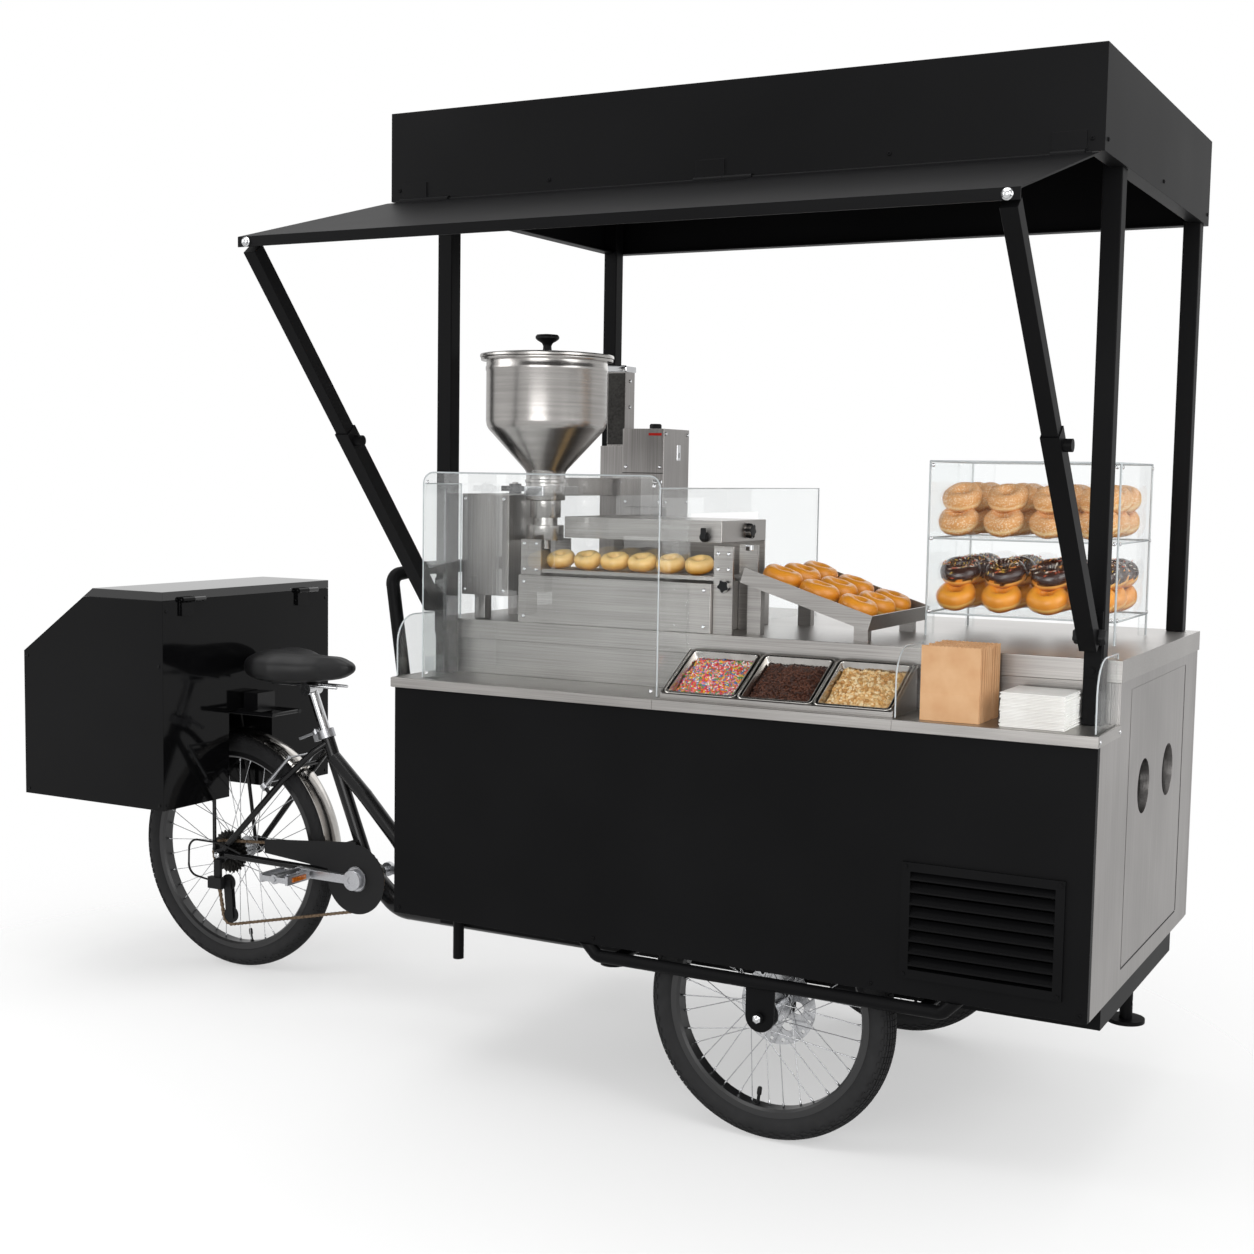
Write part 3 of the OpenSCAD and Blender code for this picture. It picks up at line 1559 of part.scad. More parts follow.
module chain() {
  color("#6b5b4a") place() profile_y(-chain_y - 3.5, -chain_y + 3.5) difference() {
    chain_path(8);
    chain_path(0);
  }
}

// Flat guard over the chainring and the upper chain run
module chain_guard() {
  disc_r = chainring_r + 12;
  y0 = -chain_y - 5.5;
  hub_r = 32;
  tab_z = crank_z + disc_r - 5;
  tab_x = seat_point((tab_z - crank_z) / cos(seat_lean))[0];
  color("#161617") place() difference() {
    union() {
      rod_y(crank_x, crank_z, disc_r, y0, y0 + 1.5);
      profile_y(y0, y0 + 1.5) polygon([
        [crank_x, crank_z + disc_r + 6],
        [guard_arm_end, rear_z + 54],
        [guard_arm_end, rear_z + 18],
        [crank_x, crank_z + 10]
      ]);
      box([tab_x - 6, y0 + 1.5, tab_z], [tab_x + 6, -seat_tube_r + 4, tab_z + 5]);
    }
    rod_y(crank_x, crank_z, hub_r, y0 - 1, y0 + 3);
    seat_frame() cylinder(r = seat_tube_r, h = seat_tube_l);
  }
}

// Rear gear mechanism with its two jockey wheels and the cable loop
module derailleur() {
  y_in = -chain_y + 5;
  y_out = -chain_y - 7;
  hanger_y = -dropout_y - dropout_t;
  color("#1a1a1b") place() {
    box([rear_x - 14, hanger_y - 10, rear_z - 60], [rear_x + 6, hanger_y, rear_z - 14]);
    box([rear_x - 30, hanger_y - 16, jockey_high[1] - 14], [rear_x + 14, hanger_y, rear_z - 60]);
    for (y = [y_in, y_out]) {
      profile_y(y, y + 2) polygon([
        [jockey_high[0] - 12, jockey_high[1] + 8],
        [jockey_high[0] + 12, jockey_high[1] + 8],
        [jockey_low[0] + 12, jockey_low[1] - 8],
        [jockey_low[0] - 12, jockey_low[1] - 8]
      ]);
    }
    for (j = [jockey_low, jockey_high]) {
      rod_y(j[0], j[1], jockey_r - 0.6, -chain_y - 3, -chain_y + 3);
      rod_y(j[0], j[1], 5, y_out + 2, -chain_y - 3);
      rod_y(j[0], j[1], 5, -chain_y + 3, y_in);
    }
    bent_tube([
      [rear_x - 28, hanger_y - 10, rear_z - 70],
      [rear_x - 96, hanger_y - 14, rear_z - 60],
      [rear_x - 90, hanger_y - 18, rear_z + 34],
      [rear_x + 10, hanger_y - 18, rear_z + 34],
      [rear_x + 68, hanger_y - 1, rear_z + 8]
    ], 2.5, 30);
  }
}

rail_half = 22;
saddle_rail_r = 4;
saddle_rail_z = 10;

// Seat post with the saddle's clamp and its rails
module seat_post() {
  color("#d7d8da") place() {
    seat_frame() translate([0, 0, seat_tube_l - post_depth]) {
      cylinder(r = seat_post_r, h = post_depth + saddle_rise - 6);
    }
    translate([saddle_x, 0, saddle_z]) {
      rod_y(0, 0, 16, -rail_half - 4, rail_half + 4);
      for (y = [-rail_half, rail_half]) {
        rod_x(y, saddle_rail_z, saddle_rail_r, -110, 96);
      }
    }
  }
}

// Padded saddle: broad at the back, narrow at the nose
module saddle() {
  base = saddle_rail_z + saddle_rail_r + seat_gap;
  color("#171717") place() translate([saddle_x, 0, saddle_z]) intersection() {
    hull() {
      for (y = [-74, 74]) {
        translate([-136, y, 56]) sphere(r = 48, $fn = 32);
      }
      translate([30, 0, 62]) sphere(r = 40, $fn = 32);
      translate([118, 0, 62]) sphere(r = 28, $fn = 32);
    }
    box([-200, -140, base], [200, 140, 120]);
  }
}

clamp_stud_x = seat_tube_r + 14;
clamp_stud_r = 3.5;

// Clamp collar around the seat tube's top, with a lug for the lever
module seat_clamp() {
  color("#c9cacc") place() seat_frame() difference() {
    union() {
      translate([0, 0, seat_tube_l - 22]) cylinder(r = seat_tube_r + 5, h = 22);
      box([-seat_tube_r - 20, -8, seat_tube_l - 20], [-seat_tube_r, 8, seat_tube_l - 2]);
      translate([-clamp_stud_x, 0, seat_tube_l - 2]) cylinder(r = clamp_stud_r, h = 14);
    }
    cylinder(r = seat_tube_r, h = seat_tube_l + 1);
  }
}

// Quick lever on the collar's stud
module clamp_lever() {
  color("#d2d3d5") place() seat_frame() {
    translate([-clamp_stud_x, 0, seat_tube_l - 2 + run_gap]) difference() {
      union() {
        cylinder(r = 8, h = 10);
        box([-54, -5, 2], [0, 5, 8]);
      }
      translate([0, 0, -1]) cylinder(r = clamp_stud_r + fit, h = 14);
    }
  }
}

// Rim brake arm on the near side: pivot, arm and pad
module brake_arm() {
  pivot = boss_root + boss_l * boss_dir;
  root = pivot + 7 * boss_dir;
  tip = root - 112 * stay_dir;
  pad = root - 24 * stay_dir;
  bar(pivot, pivot + 14 * boss_dir, 9);
  bar(root, [tip[0], root[1] + 8, tip[2]], boss_r);
  rod_y(pad[0], pad[2], 5.5, root[1], -rim_half - 2);
}

// Rim brake: both arms, and the cable between their tips
module rear_brake() {
  tip = boss_root + (boss_l + 7) * boss_dir - 110 * stay_dir;
  tip_y = -boss_root[1] - 8;
  color("#b7b8bb") place() {
    both_sides() brake_arm();
    rod_y(tip[0], tip[2], 2.5, -tip_y, tip_y);
  }
}

// Polished mudguard over the rear wheel, with the bolts that hold it to the bridges
module mudguard() {
  crown = 50;
  front_angle = -3;
  sweep = 152;
  bolt_r = 4;
  low_z = crank_z + 4 - rear_z;
  color("#c4c2be") place() translate([rear_x, 0, rear_z]) {
    rotate([90, 0, 0]) rotate(front_angle) rotate_extrude(angle = sweep, $fn = 96) intersection() {
      difference() {
        translate([mudguard_r - crown, 0]) circle(r = crown);
        translate([mudguard_r - crown, 0]) circle(r = crown - mudguard_t);
      }
      translate([mudguard_r - 20, -mudguard_half]) square([30, 2 * mudguard_half]);
    }
    rod_x(0, low_z, bolt_r, mudguard_r - mudguard_t, mudguard_r + 12 - bridge_r - seat_gap);
    rotate([0, -bridge_high_angle, 0]) {
      rod_x(0, 0, bolt_r, mudguard_r - mudguard_t, bridge_reach - bridge_r - seat_gap);
    }
  }
}

// Rack over the rear wheel with its legs, cross bars and bracket block
module rack() {
  half = 52;
  front_x = rear_x + 160;
  back_x = rear_x - 300;
  leg_r = rack_r - 1;
  foot = [rear_x - 14, -stay_end_y - leg_r - 1, rear_z + 14];
  block_x0 = box_x1 + 6;
  color("#171718") place() {
    both_sides() {
      rod_x(-half, rack_z, rack_r, back_x, front_x);
      bar(foot, [rear_x - 40, -half, rack_z], leg_r);
      rod_y(foot[0], foot[2], leg_r - 1, foot[1] - leg_r, -stay_end_y);
    }
    for (x = [back_x + rack_r, rear_x - 120, rear_x + 20, front_x - rack_r]) {
      rod_y(x, rack_z, leg_r, -half, half);
    }
    box([block_x0, -half, rack_z], [block_x0 + 46, half, rack_z + rack_r]);
    box([block_x0, -34, rack_z + rack_r], [block_x0 + 46, 34, min(rack_z + 50, saddle_z + saddle_rail_z)]);
  }
}

// Rise of the box's slanted back over its run, and its height inside a wall
slant = (box_top - box_slant_z) / (lid_x0 - box_x0);
function slant_x(z, wall) = box_x0 + (z - box_slant_z + wall * sqrt(1 + slant * slant)) / slant;
function slant_z(x, wall) = box_slant_z + slant * (x - box_x0) - wall * sqrt(1 + slant * slant);

// Section of the rear box in X and Z inside a wall, up to a height
module box_outline(wall, bottom, top) {
  polygon([
    [box_x0 + wall, bottom],
    [box_x1 - wall, bottom],
    [box_x1 - wall, top],
    [slant_x(top, wall), top],
    [box_x0 + wall, slant_z(box_x0 + wall, wall)]
  ]);
}

// Near edges of the hinge knuckles on the box
lid_knuckles = [-box_half + 60, box_half - 60 - 2 * lid_knuckle_l];

module rear_box() {
  half = box_half;
  tunnel_back = box_x0 + 40;
  color("#121213") place() {
    difference() {
      union() {
        difference() {
          profile_y(-half, half) box_outline(0, box_bottom, lid_seam);
          profile_y(-half + box_wall, half - box_wall) {
            box_outline(box_wall, box_bottom + box_wall, lid_seam + 1);
          }
        }
        box(
          [tunnel_back, -tunnel_half - box_wall, box_bottom],
          [box_x1, tunnel_half + box_wall, tunnel_top + box_wall]
        );
      }
      box([tunnel_back + box_wall, -tunnel_half, box_bottom - 1], [box_x1 + 1, tunnel_half, tunnel_top]);
    }
    for (y = lid_knuckles) {
      difference() {
        union() {
          rod_y(lid_axis_x, lid_axis_z, lid_knuckle_r, y, y + lid_knuckle_l);
          box([box_x1, y, lid_axis_z - 40], [lid_axis_x, y + lid_knuckle_l, lid_axis_z - lid_knuckle_r / 2]);
        }
        rod_y(lid_axis_x, lid_axis_z, lid_pin_r + fit, y - 1, y + lid_knuckle_l + 1);
      }
    }
  }
}

// Hollow lid, hinged along the saddle side on a pin through its own knuckles
module rear_box_lid() {
  half = box_half;
  bottom = lid_seam + run_gap;
  color("#26272a") place() {
    difference() {
      profile_y(-half, half) polygon([
        [box_x1, bottom],
        [box_x1, box_top],
        [lid_x0, box_top],
        [slant_x(bottom, 0), bottom]
      ]);
      profile_y(-half + lid_t, half - lid_t) polygon([
        [box_x1 - lid_t, bottom - 1],
        [box_x1 - lid_t, box_top - lid_t],
        [lid_x0 + lid_t, box_top - lid_t],
        [slant_x(bottom - 1, 2 * lid_t), bottom - 1]
      ]);
    }
    for (y = lid_knuckles) {
      y0 = y + lid_knuckle_l + run_gap;
      rod_y(lid_axis_x, lid_axis_z, lid_knuckle_r, y0, y0 + lid_knuckle_l);
      box([box_x1, y0, bottom], [lid_axis_x, y0 + lid_knuckle_l, lid_axis_z + lid_knuckle_r]);
      rod_y(lid_axis_x, lid_axis_z, lid_pin_r, y - 4, y0);
    }
  }
}

chassis();
floor_pan();
front_panel();
back_panel();
end_panels();
end_door();
vent_grille();
ledge();
counter();
nose_jack();
push_bar();
posts();
canopy();
awning_flap();
struts();
strut_slides();
guards();
topping_pans();
toppings();
paper_bags();
napkins();
hopper();
hopper_lid();
drive_box();
drive_lever();
control_tower();
fryer_tank();
fryer_hood();
conveyor();
drain_tray();
glazed_doughnuts();
sugared_doughnuts();
iced_doughnuts();
display_case();
near_tyre();
near_rim();
near_spokes();
far_tyre();
far_rim();
far_spokes();
rear_tyre();
rear_rim();
rear_spokes();
cassette();
bike_frame();
crankset();
near_pedal();
far_pedal();
chain();
chain_guard();
derailleur();
seat_post();
saddle();
seat_clamp();
clamp_lever();
rear_brake();
mudguard();
rack();
rear_box();
rear_box_lid();
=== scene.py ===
# %% [markdown]
# # A bicycle food cart
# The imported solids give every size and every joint. This lesson dresses them: first the studio,
# then the finishes, then the pieces one by one, each riding on the body that carries it.

# %% Load the frame
import json
import random
from math import atan2, copysign, cos, exp, hypot, pi, radians, sin, tau

import bmesh
import bpy
import numpy as np
from mathutils import Matrix, Vector

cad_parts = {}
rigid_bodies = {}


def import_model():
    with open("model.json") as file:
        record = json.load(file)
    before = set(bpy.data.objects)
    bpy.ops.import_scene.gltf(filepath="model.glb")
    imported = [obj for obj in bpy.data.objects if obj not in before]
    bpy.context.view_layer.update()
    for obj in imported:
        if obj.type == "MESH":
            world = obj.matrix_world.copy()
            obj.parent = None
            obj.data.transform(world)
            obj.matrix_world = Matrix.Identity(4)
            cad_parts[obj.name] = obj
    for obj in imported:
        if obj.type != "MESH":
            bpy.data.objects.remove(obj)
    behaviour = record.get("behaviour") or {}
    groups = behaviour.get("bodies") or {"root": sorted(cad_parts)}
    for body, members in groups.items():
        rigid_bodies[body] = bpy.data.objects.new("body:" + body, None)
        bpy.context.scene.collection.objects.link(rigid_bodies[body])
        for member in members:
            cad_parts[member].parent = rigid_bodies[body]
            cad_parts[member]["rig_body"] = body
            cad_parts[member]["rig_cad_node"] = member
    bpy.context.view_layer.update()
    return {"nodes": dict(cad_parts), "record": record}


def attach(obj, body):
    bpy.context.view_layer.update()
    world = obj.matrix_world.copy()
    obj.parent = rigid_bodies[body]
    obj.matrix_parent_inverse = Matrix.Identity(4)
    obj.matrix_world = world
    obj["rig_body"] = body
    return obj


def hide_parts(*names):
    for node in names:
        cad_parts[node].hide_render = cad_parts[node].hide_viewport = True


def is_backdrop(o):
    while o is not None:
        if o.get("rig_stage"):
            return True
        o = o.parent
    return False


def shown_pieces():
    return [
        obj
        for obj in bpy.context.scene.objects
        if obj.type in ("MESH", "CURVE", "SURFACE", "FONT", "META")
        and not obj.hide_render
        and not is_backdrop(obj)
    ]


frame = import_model()
home = {n: b for b, ns in frame["record"]["behaviour"]["bodies"].items() for n in ns}
dice = random.Random(7)

# %% [markdown]
# ## Studio
# A product picture has a white room, a pale floor and large soft lamps. The camera stands in front
# of the serving side, to the right, a little above the counter. It could be placed by eye, but its
# place and turn were fitted to the picture, so that the two can be laid over each other. The
# drawing counts millimetres from the cart's own corner, so one function turns those into metres.

# %% Places in the frame
MID_X, MID_Y = 123.5, -259.4815


def at(x, y, z):
    """A point of the cart's drawing, in millimetres, as a place in the frame, in metres."""
    return Vector((x - MID_X, y - MID_Y, z)) / 1000


def mm(length):
    return length / 1000


def put(x, y, z):
    """The shift from the frame's middle to a point of the drawing."""
    return Matrix.Translation(at(x, y, z))


print("the drawing's corner lies at", tuple(round(c, 4) for c in at(0, 0, 0)))


# %% Camera
def placed(name, data):
    """A new object in the scene."""
    made = bpy.data.objects.new(name, data)
    bpy.context.scene.collection.objects.link(made)
    return made


PICTURE_PX, FOCAL_PX, SENSOR_MM = 1254, 1736.26, 36
YAW, PITCH, ROLL = (radians(angle) for angle in (28.269, 5.048, 0.928))
forward = Vector((-sin(YAW) * cos(PITCH), cos(YAW) * cos(PITCH), -sin(PITCH)))
side = Vector((cos(YAW), sin(YAW), 0))
side = (side * cos(ROLL) + side.cross(forward) * sin(ROLL)).normalized()
lens = bpy.data.cameras.new("photo_lens")
lens.sensor_width, lens.lens = SENSOR_MM, FOCAL_PX / PICTURE_PX * SENSOR_MM
camera = placed("photo_camera", lens)
axes = Matrix((side, side.cross(forward), -forward)).transposed().to_4x4()
camera.matrix_world = put(2203.2, -3498.4, 1314.0) @ axes
bpy.context.scene.camera = camera
print("lens", round(lens.lens, 2), "mm")

# %% [markdown]
# ## Finishes
# Every finish starts from what the real surface is and how it was made. Image textures would need a
# UV map on every piece. Patterns worked out from the place on the object need none and stay sharp
# up close, so those are used. Colours are sRGB hex, patterns are sized from millimetres, and one
# function adds every node.


# %% Colour and nodes
def ink(code):
    """An sRGB hex colour as linear RGBA."""
    parts = [int(code[i : i + 2], 16) / 255 for i in (1, 3, 5)]
    return tuple(c / 12.92 if c <= 0.04045 else ((c + 0.055) / 1.055) ** 2.4 for c in parts) + (1.0,)


def add(near, kind, inputs=None, settings=None, stops=()):
    """Add a node to the tree that holds near, set and link it, and return its outputs.

    Inputs are values or sockets; stops are (position, hex) pairs for a colour ramp.
    """
    tree = near.id_data
    made = tree.nodes.new("ShaderNode" + kind)
    for key, value in (settings or {}).items():
        setattr(made, key, value)
    for key, value in (inputs or {}).items():
        if isinstance(value, bpy.types.NodeSocket):
            tree.links.new(value, made.inputs[key])
        else:
            made.inputs[key].default_value = value
    if stops:
        bar = made.color_ramp.elements
        while len(bar) < len(stops):
            bar.new(0.5)
        for element, (place, code) in zip(bar, stops):
            element.position, element.color = place, ink(code)
    return made.outputs


print("mid grey in linear light:", round(ink("#808080")[0], 3))


# %% A plain finish and its links
def finish(name, code, roughness, metallic=0.0, sockets=None):
    """A new principled finish; returns the material, its shader and Object coordinates."""
    made = bpy.data.materials.new(name)
    made.use_nodes = True
    made.diffuse_color = ink(code)
    shader = made.node_tree.nodes["Principled BSDF"]
    basic = {"Base Color": ink(code), "Roughness": roughness, "Metallic": metallic}
    for key, value in {**basic, **(sockets or {})}.items():
        shader.inputs[key].default_value = value
    return made, shader, add(shader, "TexCoord")["Object"]


def feed(shader, colour, rough=None, normal=None):
    """Link a colour, and where given a roughness and a normal, to the shader."""
    for key, socket in (("Base Color", colour), ("Roughness", rough), ("Normal", normal)):
        if socket is not None:
            shader.id_data.links.new(socket, shader.inputs[key])


def per(size_mm):
    """Texture scale at which one feature is so many millimetres wide."""
    return 1000 / size_mm


print("scale of a 2 mm pattern:", per(2))

# %% [markdown]
# ### Black paint
# Panels, posts and canopy are folded steel with a satin powder coat. Powder melts into a skin with
# a faint orange peel, a few millimetres wide, and its gloss drifts slowly over a large sheet. One
# even black would be simpler but looks like a cut-out, so both are drawn: the peel as relief, the
# drift as colour and roughness.

# %% Powder coat, gloss panel, moulded plastic
DRIFT_MM = 320


def lighter(code, steps):
    """The same hex colour, some steps of 255 lighter."""
    return "#" + "".join(f"{min(255, int(code[i : i + 2], 16) + steps):02x}" for i in (1, 3, 5))


def painted(name, code, dull, glossy, peel_mm, depth_mm, level):
    """A coat with an orange peel of a given width and depth, whose gloss drifts between two values."""
    made, shader, where = finish(name, code, dull, sockets={"Specular IOR Level": level})
    drift = add(where, "TexNoise", {"Vector": where, "Scale": per(DRIFT_MM), "Detail": 2.0})["Fac"]
    stops = [(0.3, code), (0.75, lighter(code, 5))]
    shade = add(where, "ValToRGB", {"Fac": drift}, stops=stops)["Color"]
    rough = add(where, "MapRange", {"Value": drift, "To Min": glossy, "To Max": dull})["Result"]
    peel = add(where, "TexNoise", {"Vector": where, "Scale": per(peel_mm), "Detail": 3.0})["Fac"]
    bump = add(where, "Bump", {"Height": peel, "Distance": mm(depth_mm), "Strength": 0.5})["Normal"]
    feed(shader, shade, rough, bump)
    return made


# Satin powder: nearly black, every reflection blurred.
powder_coat = painted("powder_coated_steel", "#0b0b0c", 0.5, 0.4, 3.0, 0.04, 0.07)
# Sprayed enamel: tubes look wet, with a narrow highlight along them.
frame_enamel = painted("black_frame_enamel", "#0d0d0e", 0.26, 0.18, 5.0, 0.02, 0.3)
# Gloss panel: a dark mirror without much shine of its own.
gloss_panel = painted("black_gloss_panel", "#09090a", 0.1, 0.05, 30.0, 0.01, 0.14)
# Polished lid: the bright room shows in it.
lid_gloss = painted("black_gloss_lid", "#0b0b0c", 0.05, 0.03, 60.0, 0.002, 0.9)
# Moulded ABS: a fine spark grain that spreads every highlight.
moulded_plastic = painted("black_moulded_plastic", "#141415", 0.55, 0.42, 0.9, 0.03, 0.2)
# Anodised aluminium: a dark, even sheen round the rims.
black_anodised = painted("black_anodised_alloy", "#161617", 0.36, 0.26, 1.2, 0.01, 0.6)
# Moulded polycarbonate: the one spot of red.
signal_red = painted("red_signal_plastic", "#b01c14", 0.3, 0.2, 6.0, 0.01, 0.5)
print("finishes so far:", len(bpy.data.materials))

# %% [markdown]
# ### Stainless steel
# Counter, ledge and machine are sheet steel with a brushed grain: long hairlines along one
# direction. Anisotropy alone would stretch the highlights but show no lines, so a noise is
# stretched as well. Hairlines are far finer than a pixel here and are drawn about 2 mm wide. The
# upright covers are brushed upwards, and the hopper is spun on a lathe, so its grain runs round it.

# %% Brushed and polished metals
CLOUD_MM = 240


def brushed(name, dark, pale, grain, dull, glossy):
    """Metal with hairlines; grain holds the streak's length along x, y and z in millimetres."""
    made, shader, where = finish(name, pale, dull, 1.0, {"Anisotropic": 0.35})
    scale = tuple(per(length) for length in grain)
    stretched = add(where, "Mapping", {"Vector": where, "Scale": scale})["Vector"]
    hair = add(where, "TexNoise", {"Vector": stretched, "Scale": 1.0, "Detail": 4.0})["Fac"]
    cloud = add(where, "TexNoise", {"Vector": where, "Scale": per(CLOUD_MM), "Detail": 2.0})["Fac"]
    cloud = add(where, "MapRange", {"Value": cloud, "To Min": 0.0, "To Max": 0.4})["Result"]
    mixed = add(where, "Math", {0: hair, 1: 0.6, 2: cloud}, {"operation": "MULTIPLY_ADD"})[0]
    shade = add(where, "ValToRGB", {"Fac": mixed}, stops=[(0.3, dark), (0.7, pale)])["Color"]
    rough = add(where, "MapRange", {"Value": mixed, "To Min": glossy, "To Max": dull})["Result"]
    bump = add(where, "Bump", {"Height": hair, "Distance": mm(0.02), "Strength": 0.4})["Normal"]
    feed(shader, shade, rough, bump)
    return made


# Brushed sheet, along and upright: streaks that pull highlights into bands.
steel_along = brushed("brushed_stainless_along", "#8e8b88", "#bab7b4", (260, 2, 2), 0.4, 0.26)
steel_up = brushed("brushed_stainless_upright", "#868381", "#b1aeac", (2, 2, 220), 0.42, 0.28)
# Electropolished steel: an even, bright, slightly blurred mirror.
steel_polished = brushed("polished_stainless", "#aaa6a1", "#cbc8c4", (30, 30, 30), 0.2, 0.1)
# Spun steel: rings of grain round the bowl.
spun_steel = brushed("spun_stainless", "#a3a09d", "#b9b6b3", (180, 180, 5), 0.27, 0.2)
# Drawn wire: fine bright lines.
spoke_steel = brushed("drawn_spoke_steel", "#a9aaac", "#d0d1d3", (6, 6, 6), 0.3, 0.2)
# Chrome plate: pale, with sharp reflections.
chrome = brushed("chrome_plate", "#c9cacc", "#dcddde", (40, 40, 40), 0.1, 0.04)
# Cast aluminium, tumbled: a soft grey sheen.
silver_alloy = brushed("satin_cast_alloy", "#a4a5a8", "#c4c5c8", (3, 3, 3), 0.42, 0.3)
# Stamped steel under oil: brown, with worn spots that glint.
chain_steel = brushed("oiled_chain_steel", "#4a3d31", "#8a7763", (4, 4, 4), 0.45, 0.3)
# Blackened steel: dull and dark, but still a metal.
dark_steel = brushed("blackened_steel", "#2e2d2c", "#4a4947", (5, 5, 5), 0.5, 0.36)
print("finishes so far:", len(bpy.data.materials))

# %% [markdown]
# ### Clear acrylic
# Guards and display case are cast acrylic, which bends light a little less than glass. Refraction
# alone would cast dark shadows, so shadow rays pass straight through and the shadow stays faint.
# Most other rays pass straight through too, because thin sheet hardly shifts what is behind it. Its
# polished edges get beads below, whose pale colour is a painted highlight.


# %% Acrylic
def see_through(shader, amount, code):
    """Mix the shader with plain transparency of a colour."""
    tree = shader.id_data
    clear = add(tree, "BsdfTransparent", {"Color": ink(code)})["BSDF"]
    both = add(tree, "MixShader", {0: amount, 1: shader.outputs["BSDF"], 2: clear})
    tree.links.new(both[0], tree.nodes["Material Output"].inputs["Surface"])


# Cast acrylic: clear, with faint reflections.
acrylic, shader, where = finish(
    "cast_acrylic", "#ffffff", 0.01, sockets={"IOR": 1.49, "Transmission Weight": 1.0}
)
shadow_ray = add(where, "LightPath")["Is Shadow Ray"]
clear_part = add(where, "MapRange", {"Value": shadow_ray, "To Min": 0.86, "To Max": 1.0})["Result"]
see_through(shader, clear_part, "#fdfefe")
# Its polished edge: a pale colour, a painted highlight for the light the edge gathers.
acrylic_edge_highlight = finish("acrylic_edge_painted_highlight", "#c3c8ca", 0.12)[0]
print("finishes so far:", len(bpy.data.materials))

# %% [markdown]
# ### Rubber, saddle cover and paper
# Tyre rubber is matt and a little uneven. The saddle cover is embossed vinyl with a leather grain
# about 2 mm wide. Kraft paper shows fibres, napkins a fine emboss. Each could have nodes of its
# own, but all four are one grain for the relief and a slow drift of the colour, so one function
# makes them.


# %% Rubber, vinyl, papers
def grainy(name, code, light, size_mm, depth_mm, dull, texture="TexNoise", level=0.5):
    """A matt surface with one grain for its relief and a slow drift of its colour."""
    made, shader, where = finish(name, code, dull, sockets={"Specular IOR Level": level})
    grain = add(where, texture, {"Vector": where, "Scale": per(size_mm)})[0]
    drift = add(where, "TexNoise", {"Vector": where, "Scale": per(size_mm * 14), "Detail": 4.0})["Fac"]
    shade = add(where, "ValToRGB", {"Fac": drift}, stops=[(0.3, code), (0.7, light)])["Color"]
    span = {"To Min": dull - 0.08, "To Max": dull + 0.06}
    rough = add(where, "MapRange", {"Value": drift, **span})["Result"]
    bump = add(where, "Bump", {"Height": grain, "Distance": mm(depth_mm), "Strength": 0.6})["Normal"]
    feed(shader, shade, rough, bump)
    return made


# Vulcanised rubber: dark grey without shine.
rubber = grainy("tyre_rubber", "#161617", "#212122", 1.6, 0.12, 0.74, level=0.3)
# Embossed vinyl: a soft sheen, broken up by the grain.
vinyl = grainy("embossed_vinyl", "#111112", "#171718", 2.2, 0.16, 0.44, "TexVoronoi", 0.3)
# Kraft paper: warm brown, matt, a little cloudy.
kraft = grainy("kraft_paper", "#cfa075", "#d9af85", 2.5, 0.1, 0.86, level=0.2)
# Embossed tissue: nearly white, with no shine at all.
napkin_paper = grainy("napkin_tissue", "#eceae6", "#f6f5f2", 3.0, 0.2, 0.9, "TexVoronoi", 0.15)
print("finishes so far:", len(bpy.data.materials))

# %% [markdown]
# ### Food
# A ring doughnut is fried on one side, turned and fried on the other. That leaves a dark foot, a
# pale belt round the middle and a golden crown. Colour by height in the scene would fail on rings
# that lean, so each ring carries its own height from foot to crown as an attribute, and the finish
# reads its colour from that.


# %% Dough and sugar
def dough(name, stops, dull, coat_weight, dust=None):
    """Fried dough, coloured by its height from foot to crown; dust is the colour of strewn sugar."""
    coated = {"Coat Weight": coat_weight, "Coat Roughness": 0.18}
    made, shader, where = finish(name, stops[-1][1], dull, sockets=coated)
    rise = add(where, "Attribute", settings={"attribute_name": "rise"})["Fac"]
    rise = add(where, "MapRange", {"Value": rise, "To Min": -0.08, "To Max": 0.92})["Result"]
    height = add(where, "TexNoise", {"Vector": where, "Scale": per(14), "Detail": 5.0})["Fac"]
    level = add(where, "Math", {0: height, 1: 0.16, 2: rise}, {"operation": "MULTIPLY_ADD"})[0]
    colour = add(where, "ValToRGB", {"Fac": level}, stops=stops)["Color"]
    if dust:
        flakes = add(where, "TexVoronoi", {"Vector": where, "Scale": per(3.6)})["Distance"]
        grains = [(0.2, "#ffffff"), (0.46, "#000000")]
        height = add(where, "ValToRGB", {"Fac": flakes}, stops=grains)["Color"]
        colour = add(where, "Mix", {0: height, 6: colour, 7: ink(dust)}, {"data_type": "RGBA"})[2]
    bump = add(where, "Bump", {"Height": height, "Distance": mm(0.5), "Strength": 0.5})["Normal"]
    feed(shader, colour, normal=bump)
    return made


GLAZED = [(0.0, "#8f4a12"), (0.22, "#c8701a"), (0.42, "#f0bd66"), (0.5, "#e28c22"), (1.0, "#ee9e2c")]
FRESH = [(0.0, "#b06418"), (0.24, "#dc9636"), (0.5, "#efbd6c"), (1.0, "#f7d490")]
SUGARED = [(0.0, "#b06a26"), (0.25, "#d28a3c"), (0.42, "#f0cf98"), (0.55, "#d99b58"), (1.0, "#dda066")]
# Glazed: an amber crown under a thin shine.
glazed = dough("glazed_dough", GLAZED, 0.42, 0.22)
# Fresh from the oil: pale gold and moist.
fresh_dough = dough("fresh_fried_dough", FRESH, 0.42, 0.3)
# Rolled in sugar: pale grains that hide the shine.
sugared = dough("sugared_dough", SUGARED, 0.72, 0.0, "#f1ddc0")
print("finishes so far:", len(bpy.data.materials))

# %% Icing, toppings and reflectors
RAINBOW = ["#f4efe6", "#e2476b", "#f08a24", "#f2c637", "#4f86c6", "#57a15a", "#d9332b", "#ef9bb4"]
